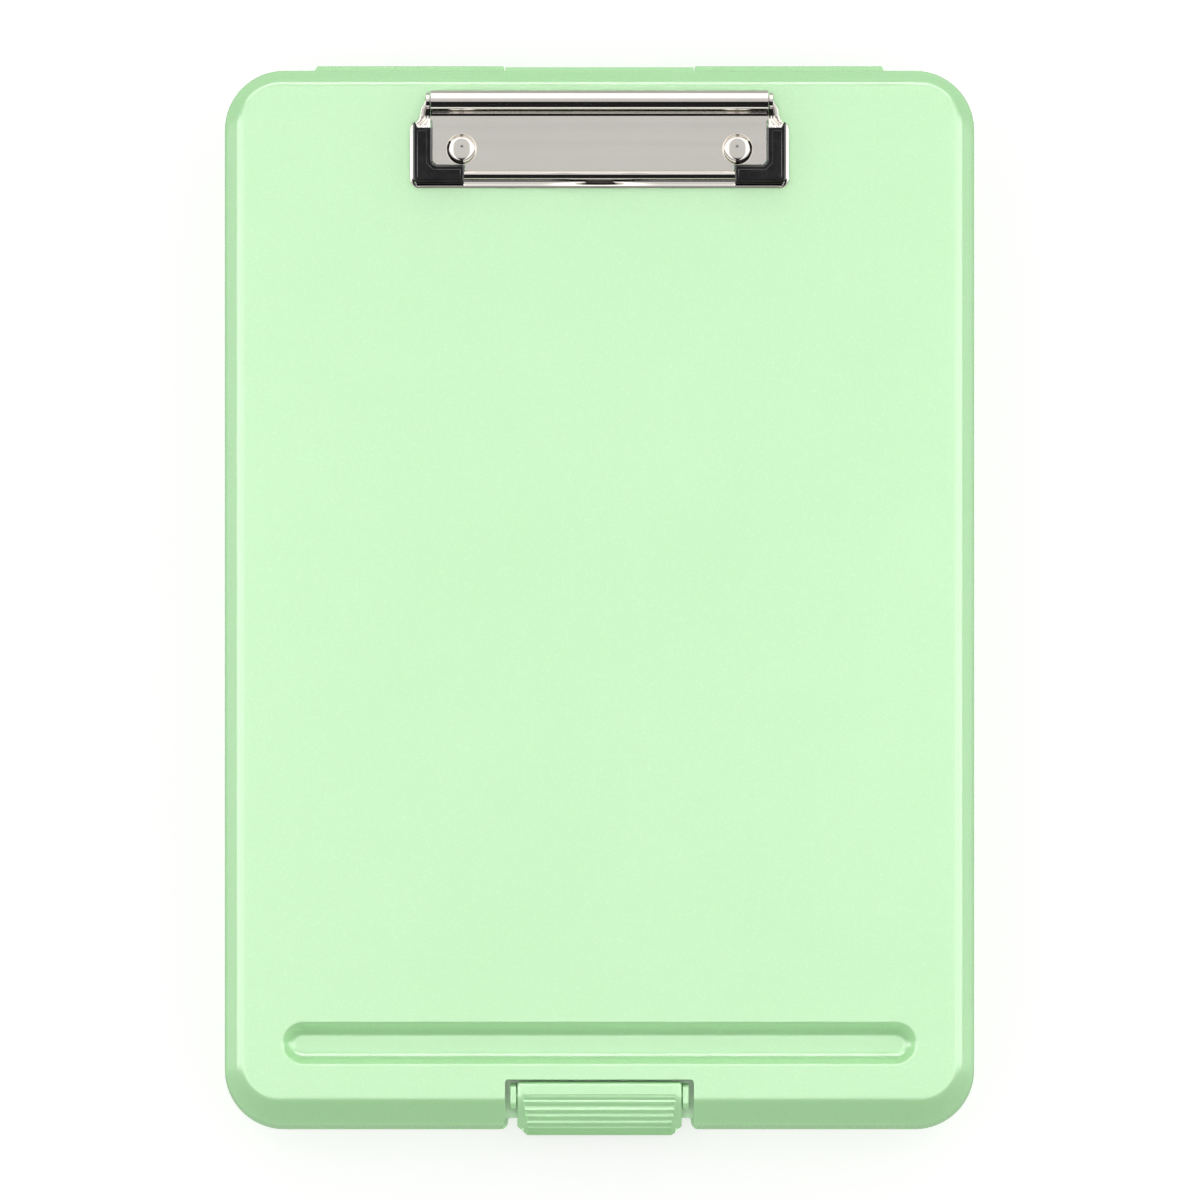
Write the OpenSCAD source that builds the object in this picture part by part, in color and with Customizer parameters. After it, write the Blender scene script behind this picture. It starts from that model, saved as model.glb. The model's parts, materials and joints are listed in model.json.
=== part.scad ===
// Storage clipboard box: a shallow letter-size case whose lid is the writing board.
// The lid turns on a steel pin along its rear edge. It carries a sprung low-profile
// paper clip, a pen groove and a finger latch that hooks under the front of the tray.
// X runs left to right, +Y points to the hinge, +Z out of the writing face.
// The origin is the middle of the underside.

/* [Case] */
// Width of the lid
case_w = 240; // [220:1:280]
// Length of the lid, from hinge edge to latch edge
case_l = 339; // [300:1:400]
// Height of the closed case, without the clip
case_h = 25; // [25:0.5:40]
// Height of the lid above the parting line
lid_h = 9.5; // [9.5:0.1:10.5]
// Wall thickness of the tray and the lid
wall = 2; // [1.8:0.1:2.2]
// Plan radius of the case corners
corner_r = 19; // [16:1:24]

/* [Lid edges] */
// Height of the upright lid wall under the bevel
lid_wall_h = 4.6; // [4.2:0.1:5]
// Plan width of the side bevels, to their sharp upper edge
side_bevel = 4.8; // [4:0.1:5.5]
// Plan width of the hinge edge bevel, to its sharp upper edge
rear_bevel = 3.4; // [3:0.1:3.8]
// Plan width of the latch edge bevel, to its sharp upper edge
front_bevel = 7.2; // [6.5:0.1:8]
// How far the front wall of the lid leans in over its height
front_lean = 1.4; // [0.8:0.1:1.8]

/* [Pen groove] */
// Length of the pen groove
groove_l = 203.5; // [120:0.5:206]
// Width of the pen groove at the writing face
groove_w = 14; // [11:0.5:16]
// Depth of the pen groove
groove_depth = 3.6; // [2:0.1:4]
// Distance of the groove's centre line from the latch edge
groove_from_front = 27.5; // [27:0.5:40]

/* [Latch] */
// Width of the notch in the lid's latch edge
notch_w = 60.5; // [50:0.5:80]
// Depth of the notch from the latch edge
notch_d = 16; // [16:0.1:17]
// Outer radius that the latch's grip curves through
latch_r = 13.6; // [13:0.1:13.8]
// Spacing of the flutes in the grip, along its curve
flute_pitch = 2.54; // [2.4:0.02:2.7]
// Depth of each flute
flute_depth = 0.4; // [0.2:0.05:0.5]

/* [Hinge] */
// Total length of the hinge's three knuckles
hinge_l = 183; // [120:1:186]
// Outer radius of the tray's knuckles
hinge_r = 3; // [2.8:0.1:3]
// Radius of the steel hinge pin
pin_r = 1.25; // [1:0.05:1.4]

/* [Clip] */
// Width of the riveted clip plate and its rolled rear edge
clip_w = 108; // [96:1:120]
// Width of the jaw over its side flanges
jaw_w = 121.3; // [121:0.1:121.6]
// Depth of the whole clip, from the roll's rear to the jaw's lip
clip_d = 31.5; // [30:0.5:34]
// Distance of the roll's rear from the lid's hinge edge
clip_from_rear = 6.4; // [6.4:0.2:12]
// Outer radius of the rolled rear edge
roll_r = 3.4; // [3.3:0.05:3.5]
// Distance between the two rivets
rivet_pitch = 88.3; // [80:0.1:90]
// Diameter of the rivets' domed heads
rivet_head_d = 9.8; // [8:0.1:11]

/* [Hidden] */

$fn = 64;
hull_fn = 32;                 // sides of a circle inside a hull
eps = 0.01;                   // thickness of an outline in a loft
over = 1;                     // overshoot of a cutting tool
run_gap = 0.05;               // radial clearance of a running fit
side_gap = 0.3;               // gap beside a moving piece

mint = "#D2F7D0";
steel = "#C9C9C6";
polished = "#DEDEDC";
black = "#1B1B1C";

half_w = case_w / 2;
half_l = case_l / 2;
part_z = case_h - lid_h;      // parting plane of the case
lid_z = part_z + 0.15;        // underside of the lid's walls
face_z = case_h;              // writing face
bevel_h = lid_h - lid_wall_h;
soften_h = 1.1;               // height of the rounding where a bevel meets the face
corner_shrink = 1.3;          // how fast the corners tighten up the bevel
lid_lean = 0.15;              // lean of the side and rear lid walls
ceiling_z = face_z - wall;

// Hinge: the axis lies just inside the lid's rear edge, so that the lid can turn
// half a turn, and the tray's rear wall stands back by twice that distance.
hinge_out = hinge_r / 2;      // how far the tray's knuckles stand out of the lid's edge
hinge_y = half_l + hinge_out - hinge_r;
hinge_z = part_z - hinge_r - side_gap;
rear_step = 2 * (hinge_r - hinge_out) + 0.4;
knuckle_l = hinge_l / 3;
lid_knuckle_r = hinge_r - 0.4;
web_top = hinge_r + side_gap + 3.2;   // top of the lid knuckle's web above the axis
land_t = 1.2;                 // extra thickness of the tray's rear wall at the hinge

// Tray
base_lean = 1.2;              // draft of the tray's walls over their height
base_round = 4;               // rounding along the tray's bottom edge
floor_t = 2;
lip_h = 1.4;                  // locating lip, above the parting plane
lip_t = 1.2;
lip_gap = 0.35;               // gap from the lip to the lid's wall
lip_front = 0.3;              // more gap at the latch edge, where the lid's wall leans in
lip_root = 2.6;               // how far the lip's root runs down the wall

// Latch: it turns on trunnions in two ears that stand on a shelf in the lid's notch
notch_back = -(half_l - notch_d);
shelf_z = part_z + 1.8;
pivot_in = 5.3;               // latch axis, from the notch's back wall
pivot_drop = 2.5;             // latch axis, below the writing face
pivot_y = notch_back - pivot_in;
pivot_z = face_z - pivot_drop;
heel_r = pivot_in - 0.5;      // round back edge of the latch about its axis
latch_out = 2;                // how far the latch stands out of the lid's edge
latch_t = 2;
latch_front = half_l + latch_out;
grip_y = -(latch_front - latch_r);    // centre of the grip's curve
grip_z = face_z - latch_r;
ear_t = 2;
ear_l = 8;
ear_gap = 1.65;               // gap outside the ears, which lets them spring apart
ear_in = notch_w / 2 - ear_gap - ear_t;
latch_w = 2 * (ear_in - side_gap);
trunnion_r = 1.25;
recess_d = 3.65;              // how far the tray's front wall is set back
recess_y = -(half_l - recess_d);
recess_w = notch_w - 2;
nib_z = part_z - 7;           // top of the latch's nib
skirt_z = part_z - 9.4;       // lower edge of the latch
catch_reach = 1.95;
nib_back = recess_y - catch_reach - 0.2;    // rear face of the nib
border = 3;                   // plain border beside the flutes
corner_cut = 3.2;             // cut front corners of the latch
flute_count = 8;
flute_step = flute_pitch / latch_r * 180 / PI;
flute_r = (pow(flute_pitch / 2, 2) + pow(flute_depth, 2)) / (2 * flute_depth);

// Clip: heights are above the writing face
sheet_t = 0.9;
roll_y = half_l - clip_from_rear - roll_r;
roll_z = face_z + roll_r + 0.3;
roll_in = roll_r - sheet_t;
fillet_r = 1.6;               // inside bend where the plate turns up into the roll
rod_r = 1.2;
rod_head_r = 1.9;
rod_head_t = 0.8;
tab_t = 0.9;                  // end tabs of the roll that carry the rod
jaw_t = 1;
jaw_half = jaw_w / 2;
jaw_front = half_l - clip_from_rear - clip_d;
jaw_top = 3.2;
band_w = 5.65;                // width of the jaw's side bands
arm_y = roll_y - 4.9;         // rear end of the jaw's side bands
eye_in = clip_w / 2 + 0.4;    // inner face of the jaw's eyes
eye_t = 1;
eye_r = 2.6;
bar_y = jaw_front + 5.4;      // rear edge of the jaw's front bar
plate_front = bar_y + 0.35;
grip_leg_x = jaw_half - 17.3; // inner end of the grips' front legs
grip_in_x = jaw_half - band_w - 1.25;
grip_rear = jaw_front + 19.6;
grip_inner_y = jaw_front + 7.4;
plate_edge = grip_in_x - 0.35;
lens_x = 11.3;                // the two lens-shaped beads on the jaw's front bar
lens_l = 10.6;
lens_w = 1.2;

// Rivets
rivet_y = roll_y - 15.4;
rivet_head_h = 2.2;
rivet_r = 2;
rivet_foot_r = 3.2;
rivet_foot_h = 1;
washer_r = 5;
washer_t = 0.8;

// Springs: two torsion coils round the rod, inside the roll
wire_r = 0.35;
coil_r = 1.8;
coil_turns = 8.25;
coil_pitch = 1.25;
coil_x = 28;                  // inner end of each coil
coil_sides = 6;
coil_rings = 8;               // rings in each turn

// One thin outline of the case at height z, inset from the lid's outline by side,
// rear and front, with corners of radius r.
module outline(z, side, rear, front, r) {
    for (x = [-1, 1]) {
        translate([x * (half_w - side - r), half_l - rear - r, z]) cylinder(r = r, h = eps);
        translate([x * (half_w - side - r), front + r - half_l, z]) cylinder(r = r, h = eps);
    }
}

// Inset of a bevelled edge at step t of the rounding between bevel and face.
function edge_inset(t, lean, bevel, soften) =
    (1 - t) * (1 - t) * (lean + bevel * (1 - soften_h / bevel_h))
    + 2 * t * (1 - t) * (lean + bevel)
    + t * t * (lean + bevel + soften);

module lid_outline(t) {
    side = edge_inset(t, lid_lean, side_bevel, 1.4);
    outline(face_z - eps - soften_h * (1 - t) * (1 - t), side,
            edge_inset(t, lid_lean, rear_bevel, 1.4),
            edge_inset(t, front_lean, front_bevel, 2.1), corner_r - corner_shrink * side);
}

// Outer form of the lid: upright walls, bevels and a rounded edge round the face.
module lid_skin() {
    wall_top = lid_z + lid_wall_h;
    hull($fn = hull_fn) {
        outline(lid_z, 0, 0, 0, corner_r);
        outline(wall_top, lid_lean, lid_lean, front_lean, corner_r);
        for (t = [0:0.25:1]) lid_outline(t);
    }
}

// Hollow of the lid, one wall inside its skin.
module lid_hollow() {
    wall_top = lid_z + lid_wall_h;
    hull($fn = hull_fn) {
        outline(lid_z - over, wall, wall, wall, corner_r - wall);
        outline(wall_top, lid_lean + wall, lid_lean + wall, front_lean + wall, corner_r - wall);
        outline(ceiling_z - eps, side_bevel + wall / 2, rear_bevel + wall / 2,
                front_lean + front_bevel + wall / 2, corner_r - corner_shrink * side_bevel);
    }
}

// A trough with round ends, open upwards at z = 0 and cut over it.
module trough(l, top_w, floor_w, depth) {
    span = l - top_w;
    for (x = [-1, 1]) translate([x * span / 2, 0, -depth])
        cylinder(r1 = floor_w / 2, r2 = top_w / 2, h = depth);
    rotate([90, 0, 90]) linear_extrude(span, center = true)
        polygon([[-floor_w / 2, -depth], [floor_w / 2, -depth], [top_w / 2, 0], [-top_w / 2, 0]]);
}

// A stadium-shaped plate on z = 0.
module stadium(l, w, h) {
    for (x = [-1, 1]) translate([x * (l - w) / 2, 0, 0]) cylinder(r = w / 2, h = h);
    translate([-(l - w) / 2, -w / 2, 0]) cube([l - w, w, h]);
}

// Pen groove with a soft rim: a steep trough inside a shallow wider one.
module groove_cut() {
    rim = 0.7;
    translate([0, groove_from_front - half_l, face_z]) {
        trough(groove_l - 2 * rim, groove_w - 2 * rim, groove_w * 0.4, groove_depth);
        trough(groove_l, groove_w, groove_w - 4 * rim, rim * 1.4);
        stadium(groove_l, groove_w, over);
    }
}

// The wall round the underside of the groove.
module groove_shell() {
    translate([0, groove_from_front - half_l, face_z - wall])
        trough(groove_l + 2 * wall, groove_w + 2 * wall, groove_w * 0.4 + 1.2 * wall, groove_depth);
}

// Plan of a notch in the front edge: half width w, back at y, outer corners of radius r.
module notch_plan(w, back, r) {
    front = -half_l;
    sink = 0.1;               // so the corner's arc crosses the front plane at an angle
    translate([-w, front - 5]) square([2 * w, back - front + 5]);
    for (x = [-1, 1]) translate([x * (w + r), front - sink + r]) difference() {
        translate([-x * (r + eps) / 2, -(r + 5) / 2]) square([r + eps, r + 5], center = true);
        circle(r);
    }
}

// Notch in the lid, with its shelf kept and a chamfer where the face rolls in.
module notch_cut() {
    chamfer = 0.6;
    w = notch_w / 2;
    translate([0, 0, shelf_z]) linear_extrude(lid_h) notch_plan(w, notch_back, 2.5);
    translate([0, 0, lid_z - over]) linear_extrude(lid_h) notch_plan(w, recess_y, 2.5);
    translate([0, notch_back, face_z]) rotate([45, 0, 0])
        cube([notch_w + chamfer, chamfer * sqrt(2), chamfer * sqrt(2)], center = true);
}

// Pocket that closes the notch off from the inside of the case.
module notch_pocket() {
    intersection() {
        lid_skin();
        translate([-notch_w / 2 - wall, -half_l, lid_z])
            cube([notch_w + 2 * wall, notch_d + wall, lid_h]);
    }
}

// One of the two ears that carry the latch.
module ear() {
    round_r = 2;
    rotate([90, 0, 90]) linear_extrude(ear_t) difference() {
        union() {
            translate([pivot_y - ear_l / 2, shelf_z - eps]) square([ear_l, pivot_z - shelf_z]);
            for (y = [-1, 1]) translate([pivot_y + y * (ear_l / 2 - round_r), pivot_z])
                circle(round_r);
            translate([pivot_y - ear_l / 2 + round_r, pivot_z]) square([ear_l - 2 * round_r, round_r]);
        }
        translate([pivot_y, pivot_z]) circle(trunnion_r + run_gap);
    }
}

module lid() {
    color(mint) difference() {
        union() {
            difference() {
                lid_skin();
                lid_hollow();
                notch_cut();
            }
            intersection() {
                groove_shell();
                lid_skin();
            }
            difference() {
                notch_pocket();
                notch_cut();
            }
            translate([ear_in, 0, 0]) ear();
            translate([-ear_in - ear_t, 0, 0]) ear();
            lid_knuckle();
        }
        groove_cut();
        translate([-hinge_l, hinge_y, hinge_z]) rotate([0, 90, 0])
            cylinder(r = pin_r + run_gap, h = 2 * hinge_l);
        for (x = [-1, 1]) translate([x * rivet_pitch / 2, rivet_y, ceiling_z - over])
            cylinder(r = rivet_r + run_gap, h = wall + 2 * over);
    }
}

// Middle knuckle: a barrel under the lid's rear wall, and the web that carries it.
module lid_knuckle() {
    w = knuckle_l - 2 * side_gap;
    translate([-w / 2, hinge_y, hinge_z]) rotate([90, 0, 90]) linear_extrude(w) {
        circle(lid_knuckle_r);
        polygon([[-1.2, 0], [lid_knuckle_r, 0], [lid_knuckle_r, web_top],
                 [hinge_r - hinge_out - lid_lean - 0.1, web_top + 1.2],
                 [-0.4, web_top + 1.2], [-1.2, web_top]]);
    }
}

// Inset of the tray's walls at a fraction t of its bottom rounding, 0 where it begins.
module base_outline(t, inset, r) {
    lean = base_lean * (1 - base_round * (1 - t) / part_z);
    side = lean + inset + (base_round - inset / 2) * t * t;
    outline(base_round * (1 - t) * (1 - t), side, side + rear_step, side, r - 0.5 * side);
}

module base_skin() {
    hull($fn = hull_fn) {
        outline(part_z - eps, 0, rear_step, 0, corner_r);
        for (t = [0:0.25:1]) base_outline(t, 0, corner_r);
    }
}

module base_hollow() {
    hull($fn = hull_fn) {
        outline(part_z + over, wall, rear_step + wall, wall, corner_r - wall);
        outline(floor_t + base_round, wall + base_lean, wall + rear_step + base_lean,
                wall + base_lean, corner_r - wall);
        outline(floor_t + 0.8, wall + base_lean + 1.4, wall + rear_step + base_lean + 1.4,
                wall + base_lean + 1.4, corner_r - wall - 1.4);
        outline(floor_t, wall + base_lean + 3.4, wall + rear_step + base_lean + 3.4,
                wall + base_lean + 3.4, corner_r - wall - 3.4);
    }
}

// Plan of the tray's mouth, drawn in by inset and a little more at the latch edge.
module mouth_plan(inset, front_more) {
    r = corner_r - inset;
    x = half_w - inset - r;
    y0 = r + inset + front_more - half_l;
    y1 = half_l - rear_step - inset - r;
    offset(r = r) translate([-x, y0]) square([2 * x, y1 - y0]);
}

// Locating lip round the tray's mouth, left out where the lid's notch pocket comes down.
module lip() {
    outer = wall + lip_gap;
    inner = outer + lip_t;
    difference() {
        union() {
            // root, sunk into the wall
            translate([0, 0, part_z - lip_root]) linear_extrude(lip_root - 0.3)
                mouth_plan(wall - 0.5, 0);
            translate([0, 0, part_z - 0.5]) linear_extrude(lip_h + 0.5)
                mouth_plan(outer, lip_front);
        }
        hull($fn = hull_fn) {
            outline(part_z - lip_root - over, wall, rear_step + wall, wall, corner_r - wall);
            outline(part_z - lip_root, wall, rear_step + wall, wall, corner_r - wall);
            outline(part_z - 1, inner, rear_step + inner, inner + lip_front, corner_r - inner);
        }
        translate([0, 0, part_z - lip_root]) linear_extrude(lip_root + lip_h + over)
            mouth_plan(inner, lip_front);
        translate([-notch_w / 2 - wall - 0.5, -half_l, part_z - lip_root - over])
            cube([notch_w + 2 * wall + 1, notch_d + wall + 1, lip_root + lip_h + 2 * over]);
    }
}

// The wall behind the latch, with the rib that the latch's nib hooks under. It is one moulding
// with the tray and a node of its own, so that the recess in front of it stays open.
module catch_wall() {
    rib_w = latch_w * 0.76;
    color(mint) {
        translate([-recess_w / 2 - wall, recess_y, floor_t])
            cube([recess_w + 2 * wall, wall, part_z - floor_t]);
        rotate([90, 0, 90]) linear_extrude(rib_w, center = true)
            polygon([[recess_y + 0.5, nib_z + 0.4], [recess_y - catch_reach, nib_z + 0.4],
                     [recess_y - catch_reach, nib_z + 1.4], [recess_y + 0.5, nib_z + 3.6]]);
    }
}

// Side walls of the recess, which join the tray's front wall to the catch wall.
module recess_sides() {
    intersection() {
        base_skin();
        translate([-recess_w / 2 - wall, -half_l, 0])
            cube([recess_w + 2 * wall, recess_d + wall, part_z - eps]);
    }
}

// One of the tray's two knuckles, from x to x + l, with its web.
module base_knuckle(x, l) {
    translate([x, hinge_y, hinge_z]) rotate([90, 0, 90]) linear_extrude(l) {
        circle(hinge_r);
        translate([-rear_step + hinge_r - hinge_out - 0.6, -hinge_r])
            square([rear_step - hinge_r + hinge_out + 0.6, 2 * hinge_r]);
    }
}

// Thicker stretch of the rear wall behind the knuckles.
module hinge_land() {
    intersection() {
        base_skin();
        translate([-hinge_l / 2, half_l - rear_step - wall - land_t, floor_t / 2])
            cube([hinge_l, wall + land_t + over, part_z]);
    }
}

module base_tray() {
    lid_zone = knuckle_l + 2 * 0.1;
    relief_r = lid_knuckle_r + 0.35;
    color(mint) difference() {
        union() {
            difference() {
                base_skin();
                base_hollow();
            }
            lip();
            recess_sides();
            hinge_land();
            base_knuckle(-hinge_l / 2, knuckle_l);
            base_knuckle(hinge_l / 2 - knuckle_l, knuckle_l);
        }
        translate([0, 0, -over]) linear_extrude(part_z + 3 * over)
            notch_plan(recess_w / 2, recess_y, 2.5);
        // the catch wall's place
        translate([-recess_w / 2 - wall, recess_y, floor_t])
            cube([recess_w + 2 * wall, wall, part_z]);
        // pocket for the lid's knuckle and web
        translate([-lid_zone / 2, hinge_y - relief_r, hinge_z - web_top - 1])
            cube([lid_zone, 2 * relief_r + hinge_r, web_top + 1 + hinge_r + lip_h + over]);
        translate([-hinge_l / 2 + 1.5, hinge_y, hinge_z]) rotate([0, 90, 0])
            cylinder(r = pin_r, h = hinge_l - 3);
    }
}

module hinge_pin() {
    color(steel) translate([-hinge_l / 2 + 1.5, hinge_y, hinge_z]) rotate([0, 90, 0])
        cylinder(r = pin_r, h = hinge_l - 3);
}

// The latch's sheet, swept over the pad, round the grip and down the skirt.
module latch_sheet() {
    pad_l = -grip_y + pivot_y + heel_r + over;
    translate([-latch_w / 2, grip_y, grip_z]) {
        rotate([0, 90, 0]) intersection() {
            difference() {
                cylinder(r = latch_r, h = latch_w, $fn = 128);
                translate([0, 0, -over]) cylinder(r = latch_r - latch_t, h = latch_w + 2 * over, $fn = 128);
            }
            translate([-2 * latch_r, -2 * latch_r, -over]) cube([2 * latch_r, 2 * latch_r, latch_w + 2 * over]);
        }
        translate([0, -eps, latch_r - latch_t]) cube([latch_w, pad_l, latch_t]);
        translate([0, -latch_r, skirt_z - grip_z]) cube([latch_w, latch_t, grip_z - skirt_z + eps]);
    }
}

// Side cheeks that close the ends of the latch, above the shelf and before the tray.
module latch_cheek() {
    cheek_t = 2;
    rotate([90, 0, 90]) linear_extrude(cheek_t) {
        intersection() {
            translate([grip_y, grip_z]) circle(latch_r - 0.3, $fn = 128);
            translate([-latch_front, pivot_z - heel_r + 0.2])
                square([latch_front + grip_y + 2, face_z - pivot_z + heel_r]);
        }
        translate([-latch_front + 0.3, skirt_z + 1])
            square([nib_back + latch_front - 0.3, pivot_z - skirt_z - 4]);
    }
}

// Plan outline of the latch, with its cut front corners.
module latch_plan() {
    w = latch_w / 2;
    back = pivot_y + heel_r + 1;
    r = 1;
    polygon([[-w, back - r - 1], [-w + r, back - 1], [-w + r, back], [w - r, back], [w - r, back - 1],
             [w, back - r - 1], [w, -latch_front + corner_cut],
             [w - corner_cut, -latch_front], [corner_cut - w, -latch_front],
             [-w, -latch_front + corner_cut]]);
}

module latch() {
    hub_r = 2.3;
    color(mint) {
        difference() {
            intersection() {
                union() {
                    latch_sheet();
                    for (x = [-latch_w / 2, latch_w / 2 - 2]) translate([x, 0, 0]) latch_cheek();
                    translate([-latch_w / 2, pivot_y, pivot_z]) rotate([0, 90, 0])
                        cylinder(r = hub_r, h = latch_w);
                    // nib along the skirt's lower edge
                    translate([-latch_w / 2 + 4, -latch_front + latch_t - 0.5, skirt_z])
                        cube([latch_w - 8, nib_back + latch_front - latch_t + 0.5, nib_z - skirt_z]);
                }
                translate([0, 0, skirt_z - over]) linear_extrude(face_z) latch_plan();
            }
            heel_cut();
            flutes();
        }
        for (x = [-1, 1]) translate([x * (latch_w / 2 + 0.9 - over / 2), pivot_y, pivot_z])
            rotate([0, 90, 0]) cylinder(r = trunnion_r, h = 1.8 + over, center = true);
    }
}

// Rounds the latch's back edge about its axis, so that it clears the notch.
module heel_cut() {
    translate([-latch_w / 2 - over, pivot_y, pivot_z]) rotate([90, 0, 90])
        linear_extrude(latch_w + 2 * over) difference() {
            translate([0, -heel_r - over]) square([2 * heel_r, 2 * (heel_r + over)]);
            circle(heel_r);
        }
}

// Scooped flutes across the grip, inside its plain border.
module flutes() {
    intersection() {
        for (i = [0:flute_count - 1]) {
            a = 6.55 + i * flute_step;
            d = latch_r - flute_depth + flute_r;
            translate([-latch_w, grip_y - d * sin(a), grip_z + d * cos(a)]) rotate([0, 90, 0])
                cylinder(r = flute_r, h = 2 * latch_w);
        }
        translate([-latch_w / 2 + border, -latch_front - over, 0])
            cube([latch_w - 2 * border, latch_front, 2 * face_z]);
    }
}

// Section of the rolled plate, along Y and Z, before its end tabs.
module roll_section() {
    front_y = roll_y - roll_r;
    bend_z = face_z + sheet_t + fillet_r;
    difference() {
        translate([roll_y, roll_z]) circle(roll_r);
        translate([roll_y, roll_z]) circle(roll_in);
        // open underneath, from the plate's bend to the curled rear end
        translate([front_y - over, face_z - over]) square([roll_r + 2 * over, roll_z - face_z + over]);
    }
    translate([front_y, bend_z - eps]) square([sheet_t, roll_z - bend_z + 2 * eps]);
    difference() {
        translate([front_y - fillet_r, face_z]) square([fillet_r + sheet_t, sheet_t + fillet_r]);
        translate([front_y - fillet_r, bend_z]) circle(fillet_r);
    }
}

// Plan of the flat plate: full width at the roll, narrower between the grips.
module plate_plan() {
    w = clip_w / 2;
    rear = roll_y - roll_r - fillet_r + eps;
    polygon([for (x = [-1, 1]) each let (p = [
        [w, rear], [w, grip_rear + 2.5], [plate_edge, grip_rear + 1.9],
        [plate_edge, grip_inner_y + 0.35 + 1.2], [plate_edge - 1.2, grip_inner_y + 0.35],
        [grip_leg_x - 0.35, grip_inner_y + 0.35], [grip_leg_x - 0.35, plate_front]])
        x < 0 ? [for (q = p) [-q[0], q[1]]] : [for (i = [len(p) - 1:-1:0]) p[i]]]);
}

module clip_plate() {
    color(polished) difference() {
        union() {
            translate([-clip_w / 2, 0, 0]) rotate([90, 0, 90]) linear_extrude(clip_w) roll_section();
            translate([0, 0, face_z]) linear_extrude(sheet_t) plate_plan();
            // end tabs that close the roll and carry the rod
            for (x = [-clip_w / 2, clip_w / 2 - tab_t]) translate([x, roll_y, roll_z])
                rotate([0, 90, 0]) cylinder(r = roll_in + 0.3, h = tab_t);
        }
        translate([-clip_w, roll_y, roll_z]) rotate([0, 90, 0])
            cylinder(r = rod_r + run_gap, h = 2 * clip_w);
        for (x = [-1, 1]) translate([x * rivet_pitch / 2, rivet_y, face_z - over])
            cylinder(r = rivet_r + run_gap, h = sheet_t + 2 * over);
    }
}

// Plan of the jaw's outer edge, inset by i: a frame with cut corners.
function jaw_edge(i) = [
    [jaw_half - i, jaw_front + 2.6 + 0.4 * i], [jaw_half - 1.6 - 0.6 * i, jaw_front + i],
    [-jaw_half + 1.6 + 0.6 * i, jaw_front + i], [-jaw_half + i, jaw_front + 2.6 + 0.4 * i],
    [-jaw_half + i, arm_y - 2.6], [-jaw_half + 2.8 + i * 0.6, arm_y],
    [jaw_half - 2.8 - i * 0.6, arm_y], [jaw_half - i, arm_y - 2.6]];

// Front bar in section: a top strip bent down to a lip that lies along the paper.
module bar_section() {
    bend_r = 1;
    foot = 0.15;
    translate([2.6 + bend_r, jaw_top - bend_r]) intersection() {
        circle(bend_r);
        translate([-bend_r, 0]) square(bend_r);
    }
    translate([2.6 + bend_r - eps, jaw_top - jaw_t]) square([5.4 - 2.6 - bend_r + eps, jaw_t]);
    translate([2.6, foot + jaw_t / 2]) square([jaw_t, jaw_top - bend_r - foot - jaw_t / 2 + eps]);
    translate([0.7, foot]) square([2.9, jaw_t]);
    translate([0.7, foot + 0.7]) circle(0.7);
}

// The jaw's frame without its arms: front bar, side bands and side flanges.
module jaw_frame() {
    inner = jaw_half - band_w;
    translate([0, jaw_front, face_z]) intersection() {
        rotate([90, 0, 90]) linear_extrude(jaw_w, center = true) bar_section();
        translate([0, -jaw_front, 0]) linear_extrude(jaw_top) polygon(jaw_edge(0));
    }
    // side bands and the gussets inside the corners
    translate([0, 0, face_z + jaw_top - jaw_t]) linear_extrude(jaw_t) intersection() {
        polygon(jaw_edge(0));
        for (x = [-1, 1]) scale([x, 1]) {
            translate([inner, jaw_front + 3.6]) square([band_w, clip_d]);
            translate([grip_leg_x, jaw_front + 3.6]) square([17.3, 2.6]);
        }
    }
    // flanges turned down along the sides
    translate([0, 0, face_z + 0.4]) linear_extrude(jaw_top - 0.4) difference() {
        polygon(jaw_edge(0));
        polygon(jaw_edge(jaw_t));
        translate([-inner, jaw_front - over]) square([2 * inner, 2 * clip_d]);
    }
}

// Two lens-shaped beads pressed up along the front bar.
module jaw_beads() {
    lens_r = (pow(lens_l / 2, 2) + pow(lens_w / 2, 2)) / lens_w;
    for (x = [-1, 1]) translate([x * lens_x, bar_y - lens_w / 2 - 0.1, face_z + jaw_top - eps])
        linear_extrude(0.35) intersection() {
            translate([0, lens_r - lens_w / 2]) circle(lens_r, $fn = 200);
            translate([0, lens_w / 2 - lens_r]) circle(lens_r, $fn = 200);
        }
}

// One arm, from the side band in and up to the eye that holds the rod.
module jaw_arm() {
    rod_up = roll_z - face_z;
    translate([0, 0, face_z]) {
        hull() {
            translate([eye_in + 0.6, arm_y - 1, jaw_top - jaw_t]) cube([jaw_half - eye_in - 3.4, 1, jaw_t]);
            translate([eye_in, roll_y - 1.4, rod_up + 1]) cube([eye_t, 2, 1]);
        }
        hull() {
            translate([jaw_half - 3.4, arm_y - 1, 0.4]) cube([0.6, 1, jaw_top - 0.4]);
            translate([eye_in, roll_y - 1.8, rod_up - 1.2]) cube([eye_t, 1.2, 2.4]);
        }
    }
    translate([eye_in, roll_y, roll_z]) rotate([0, 90, 0]) cylinder(r = eye_r, h = eye_t);
}

module clip_jaw() {
    color(polished) difference() {
        union() {
            jaw_frame();
            jaw_beads();
            jaw_arm();
            mirror([1, 0, 0]) jaw_arm();
        }
        translate([-jaw_w, roll_y, roll_z]) rotate([0, 90, 0]) cylinder(r = rod_r, h = 2 * jaw_w);
    }
}

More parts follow.
